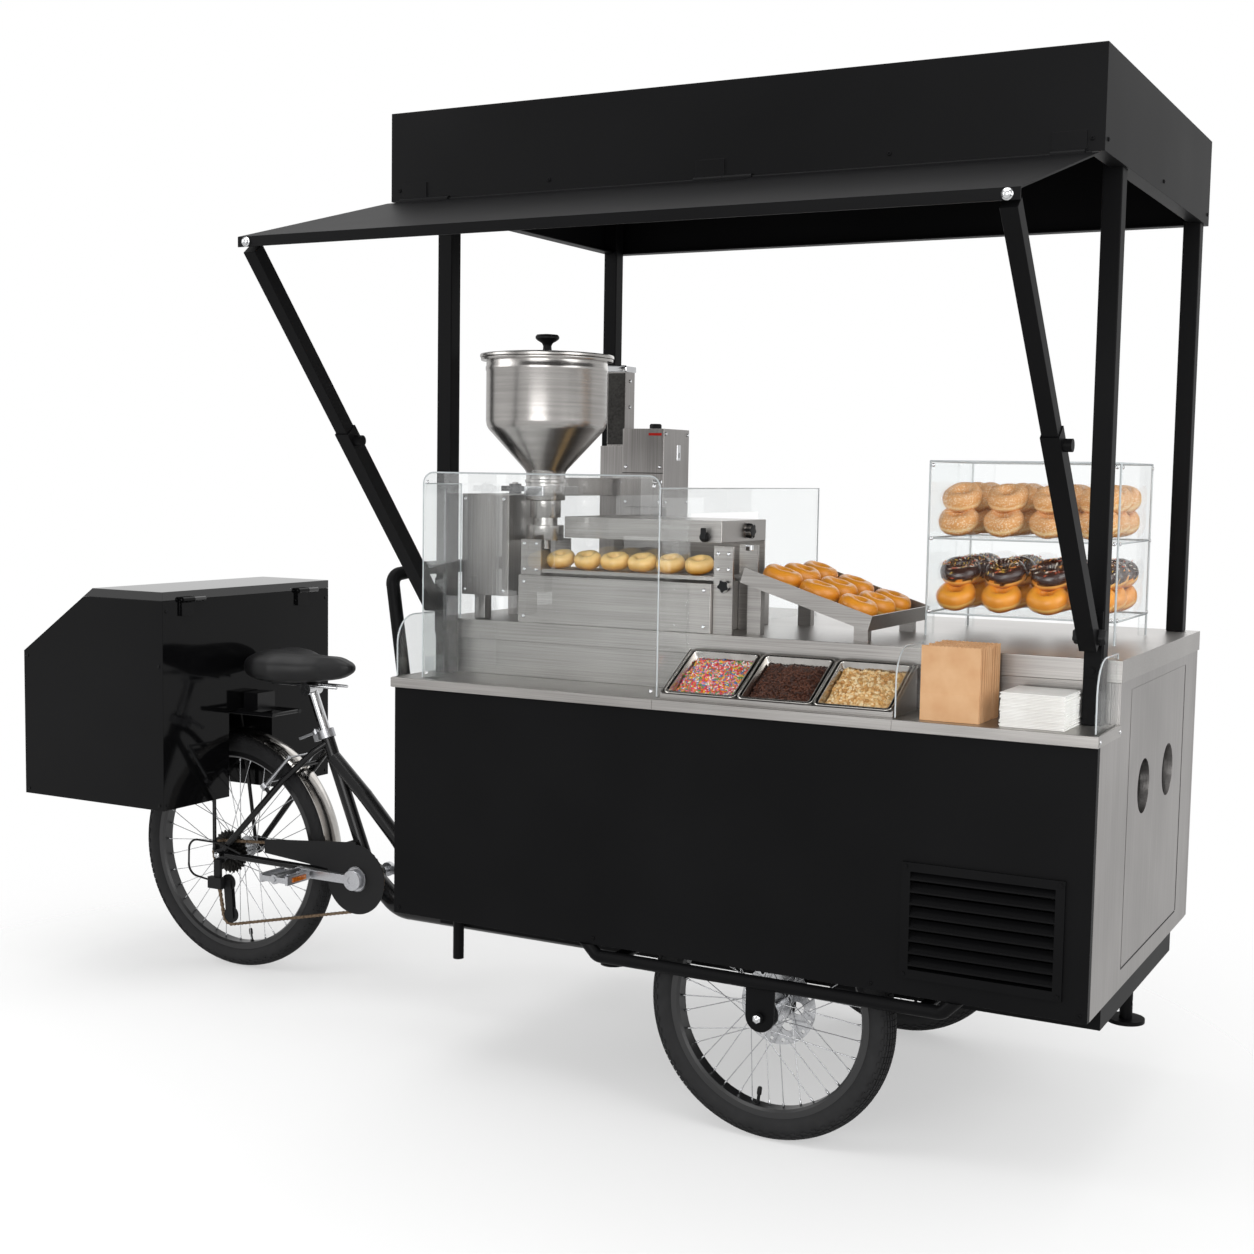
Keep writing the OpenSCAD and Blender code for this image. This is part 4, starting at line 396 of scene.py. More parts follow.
# Poured icing: dark and smooth, with a wet shine.
icing = grainy("chocolate_icing", "#2a120c", "#3a1b12", 9.0, 0.5, 0.24)
icing.node_tree.nodes["Principled BSDF"].inputs["Coat Weight"].default_value = 0.5
# Pressed chocolate and chopped nuts: rough heaps under the loose pieces.
chocolate = grainy("chocolate_strands", "#2c150d", "#47251a", 2.4, 0.6, 0.5, "TexVoronoi")
nut = grainy("chopped_nuts", "#c99a5a", "#e6c590", 5.0, 1.2, 0.6, "TexVoronoi")
# Sugar strands: each shows its own colour.
sprinkle, shader, where = finish("sugar_sprinkle", "#e8d8c8", 0.4)
feed(shader, add(where, "Attribute", settings={"attribute_name": "tint"})["Color"])
# Strewn sugar: a mix of colours between the strands.
speckle, shader, where = finish("strewn_sugar", "#b86a50", 0.5)
mixed = [(i / len(RAINBOW), code) for i, code in enumerate(RAINBOW)]
grains = add(where, "TexVoronoi", {"Vector": where, "Scale": per(5)})["Color"]
feed(shader, add(where, "ValToRGB", {"Fac": grains}, stops=mixed)["Color"])
# Moulded acrylic with prisms: they glow orange.
amber, shader, where = finish(
    "amber_reflector", "#d8700c", 0.12, sockets={"Coat Weight": 0.8, "Specular IOR Level": 0.6}
)
prisms = add(where, "TexVoronoi", {"Vector": where, "Scale": per(3.0)})["Distance"]
glow = [(0.1, "#f29a2a"), (0.6, "#b4520a")]
feed(shader, add(where, "ValToRGB", {"Fac": prisms}, stops=glow)["Color"])
print("finishes:", len(bpy.data.materials))

# %% [markdown]
# ## Tools for the pieces
# Pieces are modelled as by hand: a primitive at its size and place, shaped in edit mode, finished
# with applied modifiers. Writing out each selection and each change of mode would hide the shape,
# so these few helpers hold the steps that every piece repeats.


# %% Selecting and editing
def fresh():
    """Back to object mode with nothing selected."""
    if bpy.context.object and bpy.context.object.mode != "OBJECT":
        bpy.ops.object.mode_set(mode="OBJECT")
    bpy.ops.object.select_all(action="DESELECT")


def take(piece):
    """Make a piece the only selected one and the active one."""
    fresh()
    bpy.context.view_layer.objects.active = piece
    piece.select_set(True)


def edit():
    """Into edit mode with everything selected."""
    bpy.ops.object.mode_set(mode="EDIT")
    bpy.ops.mesh.select_all(action="SELECT")


def done():
    bpy.ops.object.mode_set(mode="OBJECT")


def solid():
    """The new active object, with its place moved into its mesh."""
    bpy.ops.object.transform_apply(location=True, rotation=True, scale=True)
    return bpy.context.object


def divide(cuts):
    """Cut every edge of the active piece so many times."""
    edit()
    bpy.ops.mesh.subdivide(number_cuts=cuts)
    done()


def pick(piece, wanted):
    """In edit mode, select just the faces that a test accepts."""
    bpy.ops.mesh.select_mode(type="FACE")
    bpy.ops.mesh.select_all(action="DESELECT")
    mesh = bmesh.from_edit_mesh(piece.data)
    for face in mesh.faces:
        if wanted(face):
            face.select_set(True)
    bmesh.update_edit_mesh(piece.data)


def applied(piece, kind, **settings):
    """Add a modifier with its settings and apply it."""
    take(piece)
    modifier = piece.modifiers.new(kind, kind)
    for key, value in settings.items():
        setattr(modifier, key, value)
    bpy.ops.object.modifier_apply(modifier=modifier.name)


def ease(piece, edge_mm, segments=2, angle=35):
    """Round the sharp edges with a bevel and smooth them, while large faces stay flat."""
    limit = radians(angle)
    if edge_mm:
        shape = {"width": mm(edge_mm), "segments": segments}
        applied(piece, "BEVEL", **shape, limit_method="ANGLE", angle_limit=limit)
    take(piece)
    bpy.ops.object.shade_smooth_by_angle(angle=limit)
    if edge_mm:
        applied(piece, "WEIGHTED_NORMAL", keep_sharp=True, weight=100)
    return piece


# %% Blocks, turned pieces and copies
def block(low, high, edge_mm=1.0, segments=2, place=None):
    """A plate or bar with eased edges between two corners of the drawing, or of a place's own frame."""
    fresh()
    low, high = (Vector(low) / 1000, Vector(high) / 1000) if place else (at(*low), at(*high))
    bpy.ops.mesh.primitive_cube_add(size=1, location=(low + high) / 2, scale=high - low)
    piece = ease(solid(), edge_mm, segments)
    if place:
        piece.data.transform(place)
    return piece


def turned(profile, steps, place=None):
    """A lathe piece along Z: rings of (radius, height) in millimetres, each extruded from the last."""
    fresh()
    first, foot = profile[0]
    bpy.ops.mesh.primitive_circle_add(
        vertices=steps, radius=mm(first), fill_type="NGON", location=(0, 0, mm(foot))
    )
    piece = solid()
    edit()
    for (r1, h1), (r2, h2) in zip(profile, profile[1:]):
        bpy.ops.mesh.extrude_region_move(TRANSFORM_OT_translate={"value": (0, 0, mm(h2 - h1))})
        bpy.ops.transform.resize(value=(r2 / r1, r2 / r1, 1), center_override=(0, 0, 0))
    bpy.ops.mesh.select_all(action="SELECT")
    bpy.ops.mesh.normals_make_consistent(inside=False)
    done()
    ease(piece, 0)
    if place:
        piece.data.transform(place)
    return piece


def rod(length_mm, radius_mm, tip_mm, taper_mm, place=None):
    """A six-sided rod with tapered ends."""
    half = length_mm / 2
    ends = [(tip_mm, -half), (radius_mm, taper_mm - half), (radius_mm, half - taper_mm), (tip_mm, half)]
    return turned(ends, 6, place)


def facing(place, direction, turn=0.0):
    """A matrix that stands a piece made along Z on a place, pointing along a direction."""
    aim = Vector(direction).to_track_quat("Z", "Y").to_matrix().to_4x4()
    return Matrix.Translation(place) @ aim @ Matrix.Rotation(turn, 4, "Z")


def copies(model, places, tints=None):
    """One mesh with a copy of the model at each place; tints colours each copy."""
    source = model.data
    co = np.array([(*v.co, 1.0) for v in source.vertices])
    loops = [tuple(p.vertices) for p in source.polygons]
    smooth = [p.use_smooth for p in source.polygons]
    points = [co @ np.array(place).T[:, :3] for place in places]
    faces = [tuple(v + i * len(co) for v in loop) for i in range(len(places)) for loop in loops]
    mesh = bpy.data.meshes.new("batch")
    mesh.from_pydata(np.concatenate(points).tolist(), [], faces)
    mesh.polygons.foreach_set("use_smooth", smooth * len(places))
    if tints:
        layer = mesh.color_attributes.new("tint", "FLOAT_COLOR", "POINT")
        colours = np.repeat(np.array(tints, np.float32), len(co), axis=0)
        layer.data.foreach_set("color", colours.ravel())
    bpy.data.objects.remove(model)
    return placed("batch", mesh)


# %% Joining and handing over
def join(parts):
    """Join parts into the first of them."""
    take(parts[0])
    for part in parts:
        part.select_set(True)
    bpy.ops.object.join()
    return parts[0]


def coat(mesh, material):
    mesh.materials.clear()
    mesh.materials.append(material)


def settle(name, piece, material, instead=None, body="cart"):
    """Give a piece, or a list of parts, its name, finish and body, and hide the node it stands for."""
    piece = join(piece) if isinstance(piece, list) else piece
    piece.name = piece.data.name = name
    coat(piece.data, material)
    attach(piece, body)
    if instead:
        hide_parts(instead)
    return piece


# %% [markdown]
# ## Sheet metal with folded edges
# Folded and welded sheet never ends in a razor edge: the bend leaves a radius of a millimetre or
# two that catches the light. The panels could be modelled anew, but the solids are already right,
# only sharp. So each one is copied, its triangles are merged back into faces, and its edges are
# rounded.


# %% Ease the edges of the sheet metal
def eased(node, edge_mm, material):
    """A copy of a solid with rounded edges, which stands for it."""
    take(frame["nodes"][node])
    bpy.ops.object.duplicate(linked=False)
    piece = bpy.context.object
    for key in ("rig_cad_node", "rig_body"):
        del piece[key]
    edit()
    bpy.ops.mesh.customdata_custom_splitnormals_clear()
    bpy.ops.mesh.remove_doubles(threshold=2e-6)
    bpy.ops.mesh.dissolve_limited(angle_limit=radians(0.4))
    done()
    ease(piece, edge_mm)
    return settle(node + "_eased", piece, material, node, home[node])


EASED = [
    ("black_satin_paint", powder_coat, {"front_panel": 1.5, "canopy": 1.5, "awning_flap": 0.8}),
    ("black_satin_paint", powder_coat, {"posts": 2.5, "struts": 1.2, "strut_slides": 1.5}),
    ("black_satin_paint", powder_coat, {"vent_grille": 0.7, "chassis": 1.5, "nose_jack": 1.0}),
    ("black_satin_paint", frame_enamel, {"rack": 0.8}),
    ("black_gloss_panel", gloss_panel, {"rear_box": 1.5}),
    ("black_gloss_panel", lid_gloss, {"rear_box_lid": 1.5}),
    ("brushed_stainless", steel_along, {"ledge": 2.0, "counter": 3.0, "drain_tray": 0.5}),
    ("brushed_stainless", steel_along, {"fryer_tank": 1.5, "fryer_hood": 1.5, "conveyor": 0.6}),
    ("brushed_stainless", steel_up, {"back_panel": 1.5, "end_panels": 1.5, "end_door": 1.5}),
    ("brushed_stainless", steel_up, {"drive_box": 2.5, "control_tower": 1.5}),
    ("silver_alloy", silver_alloy, {"crankset": 1.2, "near_pedal": 1.5, "far_pedal": 1.5}),
    ("silver_alloy", silver_alloy, {"seat_clamp": 1.0, "clamp_lever": 1.5}),
    ("black_plastic", moulded_plastic, {"chain_guard": 0.5, "drive_lever": 2.0, "derailleur": 0.8}),
]
for slot_name, material, edges in EASED:
    for node_name, edge in edges.items():
        made = eased(node_name, edge, material)
        print(made.name, len(made.data.polygons), "faces")

# %% [markdown]
# ## Solids that are right as they are
# Round tubes, wire, rims and clear sheets look right as they are. A copy with eased edges would add
# nothing that shows, so they keep their solid and get a finish.

# %% Finishes on the kept solids
KEPT = [
    (powder_coat, ["floor_pan", "push_bar"]),
    (acrylic, ["guards", "display_case"]),
    (black_anodised, ["near_rim", "far_rim", "rear_rim"]),
    (spoke_steel, ["near_spokes", "far_spokes", "rear_spokes"]),
    (frame_enamel, ["bike_frame"]),
    (chrome, ["seat_post"]),
    (silver_alloy, ["rear_brake"]),
    (steel_polished, ["mudguard"]),
]
for material, node_names in KEPT:
    for node_name in node_names:
        coat(frame["nodes"][node_name].data, material)
print("kept solids:", sum(len(node_names) for _, node_names in KEPT))

# %% [markdown]
# ## Tyres
# A tyre is a tube with a block tread on its crown and smooth flanks. The tread could be relief in
# the finish, but its blocks show in the tyre's outline. A torus has the right rows of faces
# already: those near the crown are inset one by one and pushed out.

# %% Tyres with block tread
TYRE_W, TREAD_MM, TREAD_GAP = 57, 2.2, 0.9
TREAD_STEPS, TREAD_ROWS = 132, 30
FRONT_X, FRONT_Z = 873, 260
REAR_X, REAR_Z = -830, 310
WHEELS = {
    "near": ("near_wheel", (FRONT_X, -396, FRONT_Z), 260, 213, (-30, 30), 1),
    "far": ("far_wheel", (FRONT_X, 396, FRONT_Z), 260, 213, (-30, 30), -1),
    "rear": ("rear_wheel", (REAR_X, 0, REAR_Z), 310, 263, (-18, 34), 1),
}


def tyre(centre, outer):
    """A closed tube about Y with raised tread blocks."""
    fresh()
    major, minor = outer - TYRE_W / 2, TYRE_W / 2 - TREAD_MM
    bpy.ops.mesh.primitive_torus_add(
        major_segments=TREAD_STEPS,
        minor_segments=TREAD_ROWS,
        major_radius=mm(major),
        minor_radius=mm(minor),
        rotation=(pi / 2, 0, 0),
    )
    piece = solid()
    edit()

    def on_crown(face):
        spot = face.calc_center_median()
        out = hypot(spot.x, spot.z) - mm(major)
        row = round(atan2(spot.y, out) / tau * TREAD_ROWS - 0.5)
        step = round(atan2(spot.z, spot.x) / tau * TREAD_STEPS - 0.5)
        shoulder = row in (4, 5, -5, -6)
        return abs(row + 0.5) < 6 and (not shoulder or step % 2 == (row in (4, -5)))

    pick(piece, on_crown)
    bpy.ops.mesh.inset(thickness=mm(TREAD_GAP), use_individual=True)
    bpy.ops.mesh.extrude_region_shrink_fatten(TRANSFORM_OT_shrink_fatten={"value": mm(TREAD_MM)})
    done()
    piece.data.transform(put(*centre))
    return ease(piece, 0, angle=28)


for which, (body, centre, outer, *_) in WHEELS.items():
    made = tyre(centre, outer)
    settle(which + "_tyre_tread", made, rubber, which + "_tyre", body)
    print(made.name, len(made.data.polygons), "faces")

# %% [markdown]
# ## Spoke nipples and valves
# Each spoke ends at the rim in a small nut, and each tube has a valve with a cap. They could be
# placed by hand, but every nut has to meet its spoke, so one nut is modelled and set out by the
# same angles as the spokes.

# %% Nipples and valves
SPOKES, LACE_DEG = 36, 60
HOLES_R, FLANGE_HALF, RIM_HALF = 30.3, 2.2, 4
NIPPLE = [(1.6, 0), (2.3, 1), (2.3, 7), (1.5, 11), (1.2, 12)]
VALVE = [(5, 0), (5, 3), (3.2, 3.5), (3.2, 18), (4.6, 18.5), (4.8, 20), (4.8, 31), (3.6, 34), (2, 34.5)]


def polar(radius, angle):
    return radius * cos(angle), radius * sin(angle)


def spoke_ends(spoke, rim_r, flanges, hand):
    """Where a spoke leaves the hub and where it meets the rim, from the wheel's middle."""
    flank, i = spoke % 2, spoke // 2
    cross = 1 if i % 2 == 0 else -1
    a = radians((i + flank / 2) * 360 / (SPOKES / 2))
    x, z = polar(HOLES_R, a + radians(cross * LACE_DEG))
    hub_end = Vector((x, hand * (flanges[flank] + cross * FLANGE_HALF), z))
    x, z = polar(rim_r - 17.3, a)
    return hub_end, Vector((x, hand * (RIM_HALF if flank else -RIM_HALF), z))


for which, (body, centre, outer, rim_r, flanges, hand) in WHEELS.items():
    places = []
    for spoke in range(SPOKES):
        hub_end, rim_end = spoke_ends(spoke, rim_r, flanges, hand)
        places.append(facing(at(*(Vector(centre) + rim_end)), hub_end - rim_end))
    nipples = copies(turned(NIPPLE, 8), places)
    settle(which + "_nipples", nipples, spoke_steel, body=body)
    down = radians(-97 if which == "near" else -80)
    foot = Vector((cos(down), 0, sin(down))) * (rim_r - 17)
    valve = turned(VALVE, 20, facing(at(*(Vector(centre) + foot)), -foot))
    settle(which + "_valve", valve, moulded_plastic, body=body)
print("nipples and valves on", len(WHEELS), "wheels")

# %% [markdown]
# ## Chain
# A chain is a row of pins half an inch apart, joined by inner and outer side plates in turn. An
# array along a curve would stretch the links in the bends. Here the path is the outline round three
# circles, the chainring, the sprocket and the lower jockey wheel, and it is cut into equal steps,
# one for each pin.

# %% Chain path
PITCH_MM, CHAIN_Y = 12.7, -60
CRANK_X, CRANK_Z = -400, 295
WRAPS = [((CRANK_X, CRANK_Z), 80), ((REAR_X, REAR_Z), 34), ((-806, 150), 26)]


def outline(points):
    """The outline round a set of points, counter-clockwise."""
    points = sorted(points)

    def half(row):
        kept = []
        for p in row:
            while len(kept) > 1 and (
                (kept[-1][0] - kept[-2][0]) * (p[1] - kept[-2][1])
                - (kept[-1][1] - kept[-2][1]) * (p[0] - kept[-2][0])
            ) <= 0:
                kept.pop()
            kept.append(p)
        return kept[:-1]

    return half(points) + half(points[::-1])


ring = []
for (cx, cz), r in WRAPS:
    spots = [polar(r, radians(a)) for a in range(0, 360, 3)]
    ring += [(cx + x, cz + z) for x, z in spots]
path = np.array(outline(ring) + outline(ring)[:1])
run = np.concatenate([[0], np.cumsum(np.hypot(*np.diff(path, axis=0).T))])
links = 2 * round(run[-1] / PITCH_MM / 2)
stops = np.linspace(0, run[-1], links + 1)
pins = np.stack([np.interp(stops, run, path[:, k]) for k in (0, 1)], axis=1)
print("chain of", links, "links,", round(run[-1]), "mm round")

# %% Chain links
PIN = [(1.6, -4.2), (2.0, -4.0), (2.0, -3.8), (3.8, -1.6), (3.8, 1.6), (2.0, 3.8), (1.6, 4.2)]
plates, rollers = {0: [], 1: []}, []


def spin(degrees, axis):
    return Matrix.Rotation(radians(degrees), 4, axis)


for i, (a, b) in enumerate(zip(pins, pins[1:])):
    mid, along = (a + b) / 2, atan2(b[1] - a[1], b[0] - a[0])
    for y in (-2.2, 2.2) if i % 2 else (-3.2, 3.2):
        plates[i % 2].append(put(mid[0], CHAIN_Y + y, mid[1]) @ Matrix.Rotation(-along, 4, "Y"))
    rollers.append(put(a[0], CHAIN_Y, a[1]) @ spin(90, "X"))
fresh()
bpy.ops.mesh.primitive_cube_add(size=1, scale=(mm(PITCH_MM + 8), mm(0.9), mm(8)))
plate = solid()
divide(1)
for vertex in plate.data.vertices:
    if abs(vertex.co.x) < 1e-6:
        vertex.co.z *= 0.68
    elif abs(vertex.co.z) > mm(3):
        vertex.co.x *= 0.82
parts = [copies(plate, plates[0] + plates[1])]
parts.append(copies(turned(PIN, 10), rollers))
print("plates:", len(plates[0] + plates[1]), "pins:", len(rollers))
settle("chain_links", parts, chain_steel, "chain", body=home["chain"])

# %% [markdown]
# ## Sprockets
# The cassette is a stack of toothed discs, the smallest outside. Cutting each gap with a boolean is
# slow and leaves poor faces. So each disc starts as a cylinder with four rim points to a tooth, and
# every second pair is drawn in to make the gaps.

# %% Toothed sprockets
SLEEVE = [(14.2, -31), (20, -31), (20, -6), (20, 2.6), (18.5, 3.4), (14.2, 3.4)]
discs = []
for i in range(6):
    tip = 30.5 + 5 * i
    teeth = round(tau * tip / PITCH_MM)
    fresh()
    bpy.ops.mesh.primitive_cylinder_add(
        vertices=teeth * 4, radius=mm(tip + 2), depth=mm(1.8), end_fill_type="NGON"
    )
    disc = solid()
    edit()
    bpy.ops.mesh.select_mode(type="VERT")
    bpy.ops.mesh.select_all(action="DESELECT")
    cut = bmesh.from_edit_mesh(disc.data)
    for vertex in cut.verts:
        step = round(atan2(vertex.co.x, vertex.co.y) / tau * teeth * 4)
        vertex.select_set(step % 4 in (0, 1))
    bmesh.update_edit_mesh(disc.data)
    bpy.ops.transform.resize(value=((tip - 3) / (tip + 2),) * 2 + (1,), center_override=(0, 0, 0))
    pick(disc, lambda face: abs(face.normal.z) > 0.9)
    bpy.ops.mesh.inset(thickness=mm(5), depth=mm(-0.3), use_individual=True)
    done()
    disc.data.transform(put(REAR_X, CHAIN_Y + 5 * i, REAR_Z) @ spin(90, "X"))
    discs.append(disc)
discs.append(turned(SLEEVE, 40, put(REAR_X, CHAIN_Y, REAR_Z) @ spin(90, "X")))
settle("cassette_sprockets", discs, dark_steel, "cassette", body="sprockets")
print("sprockets:", len(discs) - 1)

# %% [markdown]
# ## Saddle
# The saddle is foam under an embossed vinyl cover, broad behind and narrow at the nose. Pulled from
# a cube it would keep ridges, so it starts as a ball whose rings are set to the saddle's width and
# height along its length. A short cloth run with pressure then lets the cover swell over the foam.

# %% Saddle form
SADDLE_MID, SADDLE_HALF, SWELL = -19, 165, 0.965
ALONG = [-184, -150, -110, -60, 0, 40, 90, 130, 146]
HALF_WIDTH = [96, 114, 121, 108, 66, 47, 36, 31, 28]
CROWN = [84, 95, 97, 92, 84, 83, 86, 86, 82]
BELLY = [24, 18, 16, 16, 20, 26, 32, 38, 42]
fresh()
bpy.ops.mesh.primitive_uv_sphere_add(segments=64, ring_count=44, radius=1, rotation=(0, pi / 2, 0))
pad = solid()
for vertex in pad.data.vertices:
    x, y, z = vertex.co
    ring_r = max(hypot(y, z), 1e-6)
    x = max(-1.0, min(1.0, x))
    along = SADDLE_MID + SADDLE_HALF * SWELL * x
    full = (1 - abs(x) ** 5) ** 0.42
    wide, crown, belly = (np.interp(along, ALONG, sizes) for sizes in (HALF_WIDTH, CROWN, BELLY))
    middle = (crown + belly) / 2
    tall, low = (crown - middle) * full * SWELL, (middle - belly) * full * SWELL
    yn, zn = y / ring_r, z / ring_r
    groove = 5 * exp(-((yn / 0.22) ** 2)) * max(0, min(1, (along + 170) / 60)) * (zn > 0)
    over = (abs(zn) ** 0.72) * tall - groove * full if zn > 0 else -(abs(zn) ** 0.6) * low
    across = copysign(abs(yn) ** 0.85, yn) * (wide * full * SWELL)
    vertex.co = Vector((along, across, middle + over)) / 1000
applied(pad, "REMESH", mode="VOXEL", voxel_size=mm(5))
print("saddle form:", len(pad.data.polygons), "faces")

# %% Saddle cover
SWELL_CAP, LOWEST = mm(5), mm(14.6)
before = np.array([v.co for v in pad.data.vertices])
cover = pad.modifiers.new("cover", "CLOTH")
cover.settings.use_pressure = True
cover.settings.uniform_pressure_force = 4
cover.settings.effector_weights.gravity = 0
for step in range(1, 21):
    bpy.context.scene.frame_set(step)
bpy.ops.object.modifier_apply(modifier=cover.name)
bpy.context.scene.frame_set(1)
moved = np.array([v.co for v in pad.data.vertices]) - before
far = np.linalg.norm(moved, axis=1, keepdims=True)
after = before + moved * np.minimum(1, SWELL_CAP / np.maximum(far, 1e-9))
pad.data.vertices.foreach_set("co", after.ravel())
print("cover swelled by", round(float(far.max()) * 1000, 1), "mm, capped at 5")
take(pad)
edit()
bpy.ops.mesh.vertices_smooth(factor=0.5, repeat=6)
done()
applied(pad, "SUBSURF", levels=1, render_levels=1)
for vertex in pad.data.vertices:
    vertex.co.z = max(vertex.co.z, LOWEST)
pad.data.transform(put(-589.4, 0, 754.5))
ease(pad, 0, angle=60)
settle("saddle_pad", pad, vinyl, "saddle", body="seat")
print("saddle pad:", len(pad.data.polygons), "faces")

# %% [markdown]
# ## Doughnuts
# No two doughnuts are alike: each is a ring with slow waves round it, a faint groove at the pale
# belt and a flat foot. Copies of one torus would be seen as copies at once, so every ring is worked
# out by itself. The height is stored on its points for the finish to read.

# %% Rings of dough
RING_MM, DOUGH_MM = 26, 17
RING_STEPS, RING_ROWS = 44, 22


def ring_points(grow, line):
    """Points of one ring about Z with its foot at the origin, and their heights from 0 to 1."""
    waves = [dice.uniform(0, tau) for _ in range(4)]
    points, rises = [], []
    for i in range(RING_STEPS):
        th = tau * i / RING_STEPS
        wide = 1 + 0.03 * sin(2 * th + waves[0]) + 0.02 * sin(3 * th + waves[1])
        plump = 1 + 0.035 * sin(2 * th + waves[2]) + 0.02 * sin(5 * th + waves[3])
        for j in range(RING_ROWS):
            ph = tau * j / RING_ROWS
            rise = (sin(ph) + 1) / 2
            shell = grow
            if line is not None:
                edge = line + 0.07 * sin(3 * th + waves[1]) + 0.04 * sin(7 * th + waves[3])
                shell = grow if rise > edge else -2.0
            belt = 0.7 * exp(-(((rise - 0.45) / 0.06) ** 2)) if cos(ph) > 0 else 0
            dough_r = DOUGH_MM * plump * 0.965 + shell - belt
            out = (RING_MM * wide + dough_r * cos(ph)) * 0.985
            points.append((*polar(out, th), max(DOUGH_MM + dough_r * sin(ph), 0.0)))
            rises.append(rise)
    return points, rises


def batch(places, grow=0.0, line=None, seeds=None):
    """One mesh of many rings, each with its own waves; with a line, only icing over that height."""
    points, faces, rises = [], [], []
    for k, place in enumerate(places):
        if seeds:
            dice.seed(seeds[k])
        ring_co, ring_rise = ring_points(grow, line)
        base = len(points)
        points += [place @ (Vector(p) / 1000) for p in ring_co]
        rises += ring_rise
        for i in range(RING_STEPS):
            this, after = base + i * RING_ROWS, base + (i + 1) % RING_STEPS * RING_ROWS
            for j in range(RING_ROWS):
                up = (j + 1) % RING_ROWS
                faces.append((this + j, after + j, after + up, this + up))
    mesh = bpy.data.meshes.new("batch")
    mesh.from_pydata(points, [], faces)
    mesh.attributes.new("rise", "FLOAT", "POINT").data.foreach_set("value", rises)
    mesh.polygons.foreach_set("use_smooth", [True] * len(faces))
    return placed("batch", mesh)


def lie(place, tilt=1.0):
    """A place with a small random tilt and a free turn."""
    tip = radians(dice.uniform(-tilt, tilt))
    return place @ Matrix.Rotation(dice.uniform(0, tau), 4, "Z") @ Matrix.Rotation(tip, 4, "X")


# %% Places of the rings
PLUMP = Matrix.Scale(1.25, 4, (0, 0, 1))
BELT_RING = spin(19, "X") @ PLUMP @ Matrix.Scale(0.746, 4)
SHELF_RING = spin(28, "X") @ PLUMP
LOWER_SHELF, UPPER_SHELF = 1034, 1189
belt_places = [put(277 + i * 67.17, -220, 1111) @ BELT_RING for i in range(6)]
tray_frame = put(732, -280, 1097) @ spin(17, "Y")
tray_places = [
    tray_frame @ Matrix.Translation(Vector((56 + i * 89, 76 + j * 100 - i * 6, 4.2)) / 1000) @ PLUMP
    for i in range(3)
    for j in range(3)
]


def shelf_places(shelf_z, layer):
    """Places of a layer of twelve plump rings on a case shelf; each leans back on the one behind it."""
    z = shelf_z + 21 + layer * 47
    back = [-29 + (j + 0.5) * 95.33 + layer * (24 - 10.5 * j) for j in range(3)]
    return [put(1048 + (i + 0.5) * 95.5, y, z) @ SHELF_RING for i in range(4) for y in back]


settle("belt_doughnuts", batch([lie(p) for p in belt_places]), fresh_dough)
shelf_rings = [lie(p, 3.0) for p in tray_places] + [lie(p) for p in shelf_places(LOWER_SHELF, 0)]
settle("glazed_rings", batch(shelf_rings), glazed, "glazed_doughnuts")
sugar_rings = [lie(p) for layer in (0, 1) for p in shelf_places(UPPER_SHELF, layer)]
settle("sugared_rings", batch(sugar_rings), sugared, "sugared_doughnuts")
iced_places = [lie(p) for p in shelf_places(LOWER_SHELF, 1)]
seeds = list(range(40, 52))
settle("iced_rings", batch(iced_places, seeds=seeds), glazed, "iced_doughnuts")
settle("chocolate_icing_caps", batch(iced_places, 0.9, 0.44, seeds), icing)
print("doughnuts:", len(belt_places) + len(shelf_rings) + len(sugar_rings) + len(iced_places))

# %% [markdown]
# ## Sprinkles on the icing
# Sugar strands lie flat on the icing, most of them on the crown. Particles could scatter them, but
# places worked out by angle keep them on the icing. One strand is a six-sided rod, copied a few
# hundred times with its own colour and turn.

# %% Strands
ICED_MIX = ["#f7efe2", "#f7efe2", "#f0a24a", "#e9c04c", "#d7603a", "#f3d9c0"]
ICED_R = DOUGH_MM + 0.9


def strand(length_mm, radius_mm):
    return rod(length_mm, radius_mm, radius_mm * 0.6, 0.6, spin(90, "Y"))


places, tints = [], []
for place in iced_places:
    for _ in range(46):
        th, ph = dice.uniform(0, tau), radians(dice.gauss(98, 30))
        out, up = polar(ICED_R, ph)
        spot = Vector((*polar(RING_MM + out, th), DOUGH_MM + up)) / 1000
        normal = Vector((*polar(cos(ph), th), sin(ph)))
        places.append(place @ facing(spot, normal, dice.uniform(0, tau)))
        tints.append(ink(dice.choice(ICED_MIX)))
settle("icing_sprinkles", copies(strand(6, 0.9), places, tints), sprinkle)
print("strands on icing:", len(places))

# %% [markdown]
# ## Hopper
# The hopper is spun from sheet on a lathe, with the depositor's neck below and a rolled rim on top.
# Stacked cones and cylinders would leave seams. So its outline is drawn once, from the nozzle up
# the outside and down the inside, and each ring is extruded from the one before.

